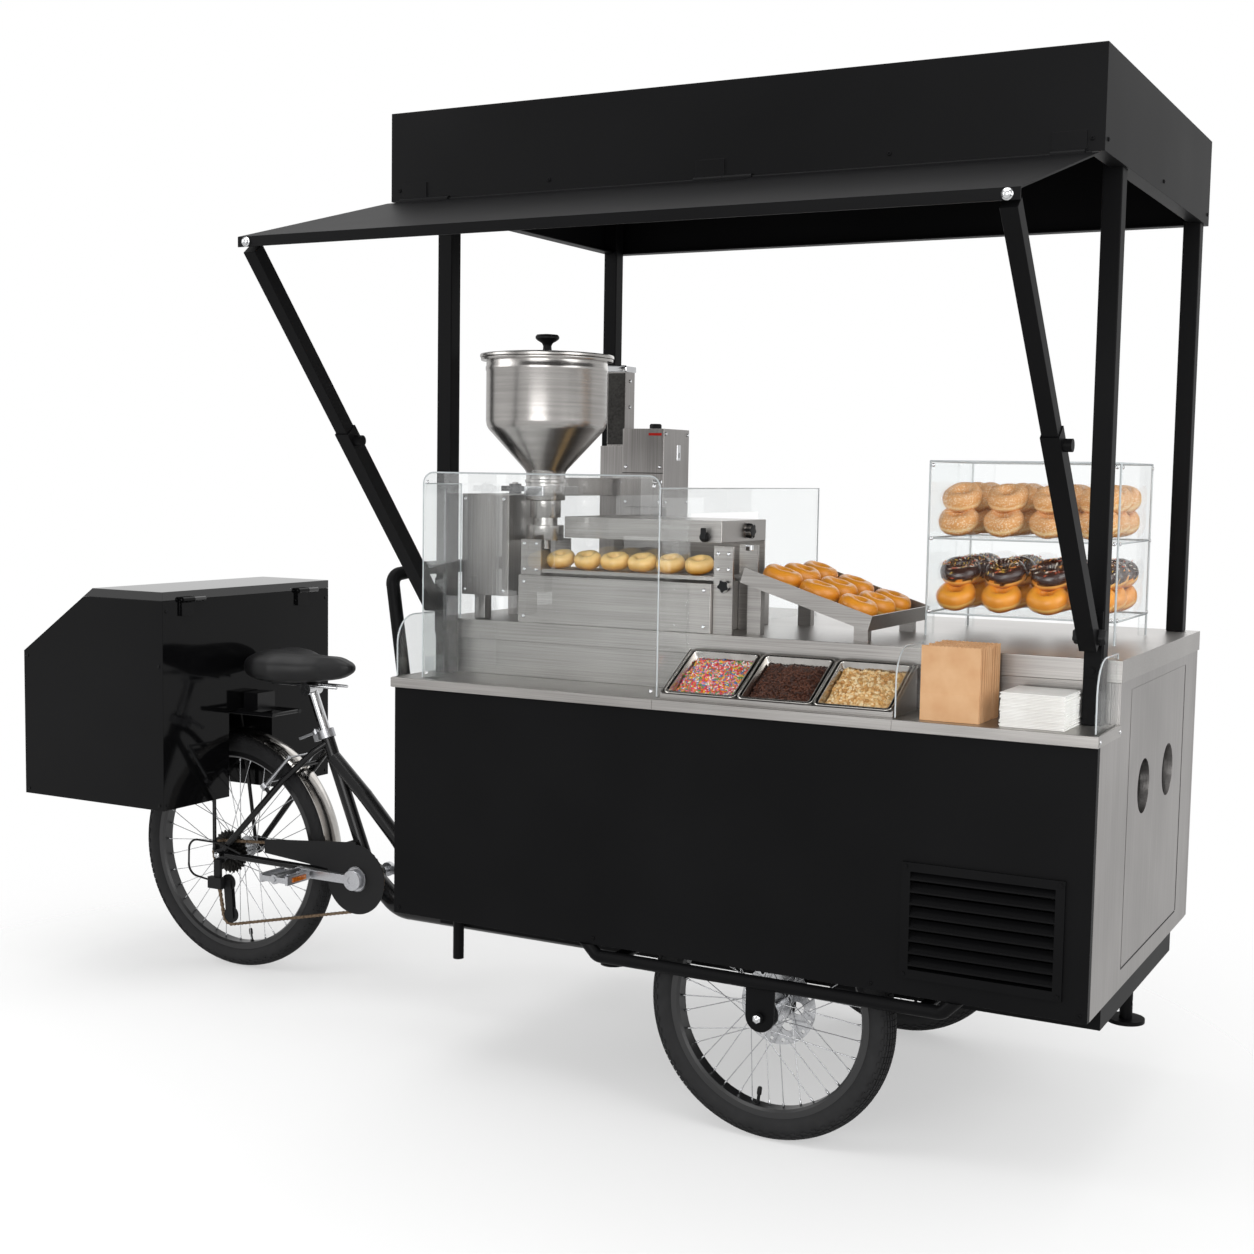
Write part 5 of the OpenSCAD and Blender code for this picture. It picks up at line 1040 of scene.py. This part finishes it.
# %% Hopper, lid and knob
HOPPER = put(232, -220, 0)
BOWL = [(11, 1146), (13, 1147), (13, 1165), (40, 1166), (41, 1167.5), (41, 1198), (40, 1199)]
BOWL += [(27, 1199.5), (27, 1215), (33, 1215.5), (34, 1217), (34, 1252), (35, 1253), (42, 1253.5)]
BOWL += [(43, 1255), (43, 1290), (45.5, 1292), (45.5, 1297), (43, 1299), (43, 1313), (47, 1320)]
BOWL += [(126, 1406), (130, 1413), (132, 1424), (132, 1530), (133.5, 1534), (133.5, 1540), (132, 1544)]
BOWL += [(132, 1553), (143, 1554), (144, 1556), (144, 1559), (143, 1560), (131, 1560), (130, 1558)]
BOWL += [(130, 1424), (128, 1412), (46, 1324), (30, 1316), (1, 1315.5)]
LID = [(139, 1560.4), (145, 1560.6), (146, 1562), (146, 1566), (144.5, 1568), (128, 1568.5)]
LID += [(120, 1571), (60, 1572), (20, 1572.5)]
KNOB = [(13, 1572), (13, 1575), (10, 1577), (9, 1588), (12, 1594), (22, 1600), (26, 1604), (26, 1608)]
KNOB += [(23, 1612), (8, 1613.5)]
bowl = turned(BOWL, 72, HOPPER)
settle("hopper_bowl", bowl, spun_steel, "hopper")
lid = turned(LID, 72, HOPPER)
settle("hopper_lid_disc", lid, spun_steel, "hopper_lid", "bowl_lid")
knob = turned(KNOB, 40, HOPPER)
settle("hopper_lid_knob", knob, moulded_plastic, body="bowl_lid")
print("hopper:", len(bowl.data.polygons), "faces")

# %% [markdown]
# ## Screws, knobs and covers on the machine
# A machine is read by its fasteners: pan-head screws at the corners of each cover, black knobs for
# the dials, a lock on the control box. They could be drawn into the finish, but only a real rim
# catches the light. One screw is modelled and copied, and covers, strips and the dark strips of
# painted shade in the door's gap are blocks with eased edges, set out in a table.

# %% Screws
FRONT, RIGHT, UP, LEFT = (Vector(way) for way in ((0, -1, 0), (1, 0, 0), (0, 0, 1), (-1, 0, 0)))
SCREW = [(3.2, -0.2), (4, 0.3), (4, 1.4), (3, 2.4), (1.6, 2.6), (1.6, 1.2)]
BRIGHT_SCREWS = [
    (FRONT, (226, 659), (-296,), (1078, 1003)),
    (FRONT, (71, 171), (-292.5,), (1054, 1254)),
    (FRONT, (685, 708), (-285,), (1154, 1122)),
    (FRONT, (220, 250), (-285,), (1104, 1160)),
    (RIGHT, (378,), (70, 180), (1250, 1406)),
    (RIGHT, (254,), (123,), (1395, 1470, 1530)),
    (FRONT, (280, 368), (60,), (1250, 1330)),
    (FRONT, (1052, 1426), (-34,), (1342, 1191, 1040)),
    (RIGHT, (1435,), (-25, 252), (1342, 1191, 1040)),
    (FRONT, (76, 618), (-446,), (882, 1290)),
    (RIGHT, (1510,), (-456, -304), (859,)),
]


def screws(rows):
    """Pan heads at every mix of a row's x, y and z, facing the row's way."""
    spots = [(way, (x, y, z)) for way, xs, ys, zs in rows for x in xs for y in ys for z in zs]
    return copies(turned(SCREW, 12), [facing(at(*spot), way) for way, spot in spots])


settle("bright_screws", screws(BRIGHT_SCREWS), chrome)
print("rows of bright screws:", len(BRIGHT_SCREWS))

# %% Covers, strips and painted shade in the door gap
BLOCKS = [
    ("drive_cover", "brushed_stainless", steel_up, [((63, -292.5, 1046), (179, -290, 1262), 0.8)]),
    ("signal_strip", "black_plastic", signal_red, [((338, 59.2, 1402), (372, 60.2, 1408), 0.4)]),
    ("machine_bright_fittings", "silver_alloy", chrome, [
        ((203, 97, 1550), (257, 149, 1566), 4.0, 3),  # column cap
        ((352, 55, 1292), (376, 60, 1300), 1.5),  # box handle
        ((378, 126, 1346), (379.6, 144, 1382), 0.7),  # lock plate
        ((724, -240, 1160), (738, -228, 1172), 1.5),  # tray latch
        ((208, -272, 1262), (256, -260, 1284), 2.0),  # neck clamp
    ]),
    ("machine_dark_trim", "black_plastic", dark_steel, [
        ((208, 98.6, 1382), (252, 100.2, 1548), 0.5),  # column back
        ((379.4, 133.5, 1352), (380, 136.5, 1364), 0.2),  # key slot
        ((271, 59.4, 1315), (377, 60.2, 1317), 0.2),  # box seam
    ]),
    ("ledge_strips", "brushed_stainless", steel_along, [
        ((x0, -467.4, 849), (x1, -466, 869), 0.6)
        for x0, x1 in ((-3, 630.5), (631.5, 1129.5), (1130.5, 1510))
    ]),
    # Dark strips in the door's gap: painted shade, where the gap should look dark.
    ("door_gap_painted_shade", "black_plastic", rubber, [
        ((1488, -201.4, 392), (1504, -199, 926), 0.4),
        ((1506.8, -199, 388.6), (1507.4, 317, 391.2), 0.1),
        ((1506.8, 321.6, 392), (1507.4, 323.6, 926), 0.1),
    ]),
]
for name, slot_name, material, rows in BLOCKS:
    settle(name, [block(*row) for row in rows], material)
    print(name, len(rows))

# %% Black knobs
STRUT_BOLT = [(9, 0), (9, 1.6), (6.5, 2), (7, 3), (6, 6), (2, 7.2)]


def knob_on(place, direction, radius, depth, grips=0):
    """A moulded knob; grips cuts that many finger hollows into its rim."""
    outline_of = [(0.9, 0), (1, 0.1), (1, 0.75), (0.85, 1), (0.3, 1.03)]
    piece = turned([(radius * r, depth * h) for r, h in outline_of], 4 * grips or 28)
    for vertex in piece.data.vertices if grips else ():
        step = round(atan2(vertex.co.x, vertex.co.y) / tau * 4 * grips)
        if step % 4 in (0, 1):
            vertex.co.x *= 0.78
            vertex.co.y *= 0.78
    piece.data.transform(facing(at(*place), direction))
    return piece


knobs = [
    knob_on((662, -92, 1196), RIGHT, 17, 13.5, 6),  # hood dial
    knob_on((626, -222, 1184.5), FRONT, 10.5, 15),  # hood switch
    block((620, -240, 1178), (632, -234, 1204), 2.5, 3),  # hood toggle
    knob_on((700, -285, 1088), FRONT, 14, 10, 5),  # belt knob
    knob_on((330, 110, 1418), UP, 14, 12),  # tower knob
]
settle("machine_knobs", knobs, moulded_plastic)
feet = [(58, RIGHT), (1481, RIGHT), (26, LEFT), (1449, LEFT)]
stars = [knob_on((x, -370, 1036), way, 15, 13, 5) for x, way in feet]
settle("strut_star_knobs", stars, moulded_plastic)
places = [facing(at(x, -981.9, 1727), FRONT) for x in (42, 1465)]
settle("strut_bolts", copies(turned(STRUT_BOLT, 24), places), chrome, body="flap")
print("knobs:", len(knobs) + len(stars))

# %% [markdown]
# ## Drain tray grid
# The doughnuts drain on a welded wire grid that lies in the tray. A wireframe modifier would put
# all wires into one layer. Crossed rods lie on each other, as welded ones do, and wires 10 mm apart
# are enough to read as a grid from the front.

# %% Wire grid
WIRE = (0.7, 0.5, 0.4)
down = [tray_frame @ facing(Vector((144, 8 + i * 10.1, 3.0)) / 1000, RIGHT) for i in range(34)]
across = [tray_frame @ facing(Vector((6 + i * 10, 175, 3.8)) / 1000, -FRONT) for i in range(29)]
grid = [
    copies(rod(284, *WIRE), down),
    copies(rod(342, *WIRE), across),
]
settle("tray_grid", grid, steel_polished)
print("wires:", len(down) + len(across))

# %% [markdown]
# ## Topping pans
# A food pan is drawn from one sheet: round corners, a flat rim and a tapered well. A hollowed block
# would keep sharp corners. So a plane has its corners bevelled, its middle inset for the rim and
# pushed down in steps, as in the press, and gets the sheet's thickness last. The pans hang in a
# wedge stand of two side plates.

# %% Pans
PANS = put(642, -446, 882) @ spin(30, "X")
PAN_W, PAN_L, PAN_PITCH = 158, 154, 160
PAN_MID = (mm(PAN_W / 2), mm(PAN_L / 2), 0)
fresh()
bpy.ops.mesh.primitive_plane_add(size=1)
pan = solid()
edit()
bpy.ops.transform.resize(value=(mm(PAN_W), mm(PAN_L), 1))
bpy.ops.transform.translate(value=PAN_MID)
bpy.ops.mesh.bevel(offset=mm(14), offset_pct=0, segments=5, affect="VERTICES")
bpy.ops.mesh.select_all(action="SELECT")
for inset_mm, drop_mm, shrink in [(8, -0.4, 1.0), (1.2, -2, 0.995), (0.6, -34, 0.94), (5, -3.2, 1.0)]:
    bpy.ops.mesh.inset(thickness=mm(inset_mm))
    bpy.ops.transform.translate(value=(0, 0, mm(drop_mm)))
    bpy.ops.transform.resize(value=(shrink, shrink, 1), center_override=PAN_MID)
done()
applied(pan, "SOLIDIFY", thickness=mm(1.2), offset=-1)
ease(pan, 0, angle=50)
pan_places = [PANS @ Matrix.Translation((mm(i * PAN_PITCH + 1), 0, mm(0.6))) for i in range(3)]
pans = copies(pan, pan_places)
settle("food_pans", pans, steel_polished, "topping_pans")
print("pans:", len(pans.data.polygons), "faces")

# %% Stand
LEDGE_Z = 870
sides = []
for x in (639, 1122):
    plate = block((x, -446, LEDGE_Z), (x + 3, -312.6, 959), 0)
    for vertex in plate.data.vertices:
        if vertex.co.y < at(0, -440, 0).y and vertex.co.z > mm(900):
            vertex.co.z = mm(882)
    sides.append(ease(plate, 0.6))
sides += [block((0, y, -6.5), (480, y + 5, -1.6), 0.6, place=PANS) for y in (1, 148)]
sides.append(block((639, -447.2, LEDGE_Z), (1125, -446, 880), 0.5))
settle("pan_stand", sides, steel_along)
print("stand:", len(sides), "plates")

# %% [markdown]
# ## Toppings
# Rainbow strands, chocolate strands and chopped nuts fill the pans. A rigid body run could pour
# them, but most would lie hidden. So each heap is a low mound with one layer of loose pieces strewn
# over it, and the pieces are simple, because there are thousands.


# %% Mounds
def heap(u, v):
    """Height of a heap in its pan, in millimetres under the rim, from its middle at (0, 0)."""
    return -15 + 9 * (1 - u * u) * (1 - v * v) + 1.6 * sin(7 * u + 2) * cos(6 * v)


def in_pan(index, u, v, z):
    """A spot in one of the pans, from its middle at (0, 0)."""
    return Vector((80 + index * PAN_PITCH + 64 * u, 77 + 62 * v, z)) / 1000


def mound(index):
    """A low mound that fills a pan."""
    fresh()
    bpy.ops.mesh.primitive_cube_add(size=2)
    piece = solid()
    divide(15)
    for vertex in piece.data.vertices:
        u, v, w = vertex.co
        level = heap(u, v) if w > 0.99 else -38 + (w + 1) / 2 * (heap(u, v) + 38)
        vertex.co = in_pan(index, u, v, level)
    piece.data.transform(PANS)
    return ease(piece, 0, angle=60)


MOUNDS = [("rainbow_mound", speckle), ("chocolate_mound", chocolate), ("nut_mound", nut)]
for index, (name, material) in enumerate(MOUNDS):
    print(settle(name, mound(index), material).name)


# %% Loose pieces on the mounds
def strewn(count, index, lean):
    """Places on a heap, each lying at its own angle."""
    spots = []
    for _ in range(count):
        u, v = dice.uniform(-0.97, 0.97), dice.uniform(-0.97, 0.97)
        tip = Vector((dice.gauss(0, lean), dice.gauss(0, lean), 1)).normalized()
        spot = in_pan(index, u, v, heap(u, v) + 0.7)
        spots.append(PANS @ facing(spot, tip, dice.uniform(0, tau)))
    return spots


def tinted(codes, spots):
    """A colour by chance for every spot."""
    return [ink(dice.choice(codes)) for _ in spots]


NUTS = ["#e2bd84", "#d3a566", "#efd9ae", "#c08f52", "#e8cb98"]
COCOA = ["#4a2819", "#351a0f", "#5c3422"]
fresh()
bpy.ops.mesh.primitive_ico_sphere_add(subdivisions=1, radius=mm(4.4), scale=(1.25, 0.9, 0.8))
chunk = solid()
for vertex in chunk.data.vertices:
    vertex.co *= dice.uniform(0.75, 1.15)
rainbow, cocoa = strewn(1100, 0, 0.35), strewn(1100, 1, 0.35)
nut_spots = [s @ Matrix.Scale(dice.uniform(0.7, 1.25), 4) for s in strewn(520, 2, 0.6)]
loose = copies(strand(8.0, 1.3), rainbow, tinted(RAINBOW, rainbow))
settle("rainbow_strands", loose, sprinkle, "toppings")
loose = copies(strand(8.0, 1.3), cocoa, tinted(COCOA, cocoa))
settle("dark_strands", loose, sprinkle)
loose = copies(chunk, nut_spots, tinted(NUTS, nut_spots))
settle("nut_pieces", loose, sprinkle)
print("loose pieces:", len(rainbow) + len(cocoa) + len(nut_spots))

# %% [markdown]
# ## Polished edges of the acrylic
# A sheet of acrylic is almost invisible from the front. What shows it are its edges, which gather
# light from the whole sheet. Tracing that light would take many bounces, so each visible edge gets
# a slim bead that follows the sheet's outline, its pale colour a painted highlight.


# %% Edge beads
def bead(points, radius_mm=1.6):
    """A slim rod along points of the drawing."""
    line = bpy.data.curves.new("bead", "CURVE")
    line.dimensions, line.bevel_depth, line.bevel_resolution = "3D", mm(radius_mm), 1
    line.use_fill_caps = True
    knots = line.splines.new("POLY").points
    knots.add(len(points) - 1)
    for knot, point in zip(knots, points):
        knot.co = at(*point).to_4d()
    take(placed("bead", line))
    bpy.ops.object.convert(target="MESH")
    return bpy.context.view_layer.objects.active


def bend(middle, radius, start, end):
    """Points of a quarter bend, as pairs, from one angle to another in degrees."""
    turns = [polar(radius, radians(start + (end - start) * k / 6)) for k in range(7)]
    return [(middle[0] + x, middle[1] + y) for x, y in turns]


front = [(64, 872)] + bend((88, 1286), 24, 180, 90) + bend((606, 1286), 24, 90, 0) + [(630, 872)]
low_edge = [(-454, 872)] + bend((-394, 942), 60, 180, 90) + [(-304, 1002), (-304, 992)]
beads = [
    bead([(x, -443.5, z) for x, z in front], 1.7),  # front sheet
    bead([(627.5, -440, 1286), (627.5, 390, 1286), (627.5, 390, 992)]),  # right return
    bead([(66.5, -440, 1286), (66.5, -304, 1286), (66.5, -304, 992)]),  # left return
]
beads += [bead([(x, y, z) for y, z in low_edge]) for x in (5.5, 1132.5, 1501.5)]
settle("guard_edge_highlights", beads, acrylic_edge_highlight)
CASE = [(1045, -32), (1433, -32), (1433, 260), (1045, 260)]
rails = [bead([(x, y, 990), (x, y, 1350)], 2.2) for x, y in CASE]
rails += [bead([(x, y, z) for x, y in CASE + CASE[:1]], 2.2) for z in (1036.5, 1191.5, 1350)]
settle("case_edge_highlights", rails, acrylic_edge_highlight)
print("edge beads:", len(beads) + len(rails))

# %% [markdown]
# ## Paper bags
# Flat-packed bags stand in a row. Each is a thin wad with a gusset pressed into its sides and a
# pinked top edge, and its square bottom is folded up over the front. Cloth could fold them, but
# they are pressed flat, so a finely cut block whose points are shifted is enough.

# %% Bags
BAG_W, BAG_T, BAG_PITCH = 112, 8.4, 12.8


def paper_bag(tall_mm, place):
    """A bag about its front lower left corner: x across, y back, z up."""
    piece = block((0, 0, 0), (BAG_W, BAG_T, tall_mm), 0, place=Matrix())
    take(piece)
    divide(27)
    for vertex in piece.data.vertices:
        x, y, z = (c * 1000 for c in vertex.co)
        middle = 1 - abs(y - BAG_T / 2) / (BAG_T / 2)
        if min(x, BAG_W - x) < 0.5:
            x += copysign(4.0 * middle, BAG_W / 2 - x)
        if z > tall_mm - 0.5:
            z -= 1.8 * (round(x / 4) % 2) + 1.5 * middle
        swell = 0.7 * sin(pi * x / BAG_W) * sin(pi * z / tall_mm)
        y -= swell * (1 if y < BAG_T / 2 else -0.6)
        vertex.co = Vector((x, y, z)) / 1000
    ease(piece, 0, angle=40).data.transform(place)
    return piece


wads = []
for i in range(10):
    swing = spin(dice.uniform(-0.5, 0.5), "Z")
    place = put(1175 + dice.uniform(0.2, 1.6), -441.2 + i * BAG_PITCH, LEDGE_Z + 0.1) @ swing
    wads.append(paper_bag(139.6 - (i % 3) * 2, place))
    wads.append(block((0.5, -1.1, 0.3), (111.5, 0.1, 52), 0.4, place=place))
settle("paper_bag_row", wads, kraft, "paper_bags")
print("bags:", len(wads) // 2)

# %% [markdown]
# ## Napkins
# The napkins are a stack of folded tissue with rounded folds. One block with lines in its finish
# would have a straight outline, so every napkin is a thin block with rounded edges, and none lies
# quite square on the one below.

# %% Napkin stack
PLY_MM = 2.62
stack = []
for i in range(24):
    x, y = 1384 + dice.uniform(-1.2, 1.2), -380 + dice.uniform(-1.2, 1.2)
    place = put(x, y, LEDGE_Z + 0.05 + i * PLY_MM) @ spin(dice.uniform(-0.7, 0.7), "Z")
    stack.append(block((-59.4, -60.4, 0.05), (59.4, 60.4, 2.55), 1.15, 3, place))
settle("napkin_stack", stack, napkin_paper, "napkins")
print("napkin plies:", len(stack))

# %% [markdown]
# ## Small things on the bicycle half and the cart
# Amber reflectors sit on the pedals, a round cover and bolts on the crank, bright nuts on the
# axles, and black screws round the canopy, the front and the rear box. They could be left out, but
# the eye looks for them. The tools above make them all.

# %% Bicycle fittings
CRANK_COVER = [(25, 0), (26, 1), (25, 3), (19, 4), (10, 4.4), (9.5, 3), (2, 3)]
NUT = [(8.5, 0), (9, 0.6), (9, 5.5), (8, 6.4), (5, 6.6), (5, 10), (4, 11)]
PEDALS = [("near", -156, (-617, -526)), ("far", 104, (-277, -186))]
for which, y, xs in PEDALS:
    pair = [block((x, y, 289), (x + 3, y + 52, 301), 0.8) for x in xs]
    settle(which + "_reflectors", pair, amber, body=which + "_foot")
disc = turned(CRANK_COVER, 40, facing(at(CRANK_X, -80, CRANK_Z), FRONT))
settle("crank_cover", disc, silver_alloy, body="crank")
spots = [polar(34, radians(72 * k + 30)) for k in range(5)]
ring_bolts = [(FRONT, (CRANK_X + x,), (-62,), (CRANK_Z + z,)) for x, z in spots]
settle("chainring_bolts", screws(ring_bolts), chrome, body="crank")
AXLES = [
    ("rear_axle_nuts", "bike", REAR_X, 84, REAR_Z),
    ("front_axle_nuts", "cart", FRONT_X, 462, FRONT_Z),
]
for name, body, x, y, z in AXLES:
    ends = [facing(at(x, -y, z), FRONT), facing(at(x, y, z), -FRONT)]
    settle(name, copies(turned(NUT, 6), ends), chrome, body=body)
print("chainring bolts:", len(ring_bolts))

# %% Black screws
BLACK_SCREWS = [
    (FRONT, (40, 400, 753, 1107, 1467), (-501,), (1890,)),
    (RIGHT, (1488.5,), (-480, -20, 440), (1890,)),
    (FRONT, (14, 500, 1100, 1493), (-456,), (365,)),
]
BOX_SCREWS = [(FRONT, (-1250, -803), (-323,), (480, 825)), (RIGHT, (-790,), (-310, 310), (480, 960))]
settle("black_screws", screws(BLACK_SCREWS), powder_coat)
settle("box_screws", screws(BOX_SCREWS), gloss_panel, body="bike")
print("rows of black screws:", len(BLACK_SCREWS + BOX_SCREWS))

# %% [markdown]
# ## Room and lamps
# The room is white all round, and large soft lamps stand over the cart, on both sides, behind it
# and in front. A curved backdrop would get in the way from behind. So the world itself is white to
# the camera, and the floor is a pale disc that fades into it, where only the soft shadow shows.

# %% World
scene = bpy.context.scene
scene.view_settings.view_transform = "Standard"
world = bpy.data.worlds.new("white_room")
scene.world = world
world.use_nodes = True
tree = world.node_tree
tree.nodes.clear()
way = add(tree, "LightPath")
glossy = add(tree, "Math", {0: way["Is Glossy Ray"], 1: 0.5}, {"operation": "MULTIPLY"})[0]
seen = {0: way["Is Camera Ray"], 1: way["Is Transmission Ray"]}
seen = add(tree, "Math", seen, {"operation": "MAXIMUM"})[0]
seen = add(tree, "Math", {0: seen, 1: glossy}, {"operation": "MAXIMUM"})[0]
level = add(tree, "MapRange", {"Value": seen, "To Min": 0.5, "To Max": 1.0})["Result"]
white = add(tree, "Background", {"Color": ink("#ffffff"), "Strength": level})[0]
add(tree, "OutputWorld", {"Surface": white})
print("nodes in the world:", len(tree.nodes))

# %% Floor and lamps
FLOOR_R = 6.0
FADE = {"From Min": 0.9, "From Max": 2.6, "To Min": 0.45}
fresh()
bpy.ops.mesh.primitive_circle_add(vertices=96, radius=FLOOR_R, fill_type="NGON")
floor = solid()
floor.name = floor.data.name = "studio_floor"
pale, shader, where = finish("pale_floor", "#f4f4f4", 0.9, sockets={"Specular IOR Level": 0.0})
reach = add(where, "VectorMath", {0: where}, {"operation": "LENGTH"})["Value"]
soft = {"interpolation_type": "SMOOTHSTEP"}
fade = add(where, "MapRange", {"Value": reach, **FADE}, soft)["Result"]
see_through(shader, fade, "#ffffff")
coat(floor.data, pale)
floor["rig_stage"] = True
LAMPS = [
    ("overhead", (0.2, -0.6, 5.2), (0, 0, 0.8), 4.5, 150),
    ("window_left", (-4.4, -3.0, 3.0), (-0.4, 0, 0.9), 3.2, 90),
    ("window_right", (4.8, -1.2, 2.6), (0.4, 0, 1.0), 3.0, 92),
    ("behind", (-0.6, 4.6, 3.2), (0, 0, 1.2), 3.5, 28),
    ("front_fill", (1.6, -5.2, 1.9), (0.3, 0, 1.1), 3.0, 110),
]
for name, place, target, size, power in LAMPS:
    light = bpy.data.lights.new(name, "AREA")
    light.size, light.energy = size, power
    placed(name, light).matrix_world = facing(Vector(place), Vector(place) - Vector(target))
print("lamps:", len(LAMPS))

# %% Sizes and the end
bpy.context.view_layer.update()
meshes = [piece.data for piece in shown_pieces() if piece.type == "MESH"]
print("triangles:", sum(len(face.vertices) - 2 for mesh in meshes for face in mesh.polygons))
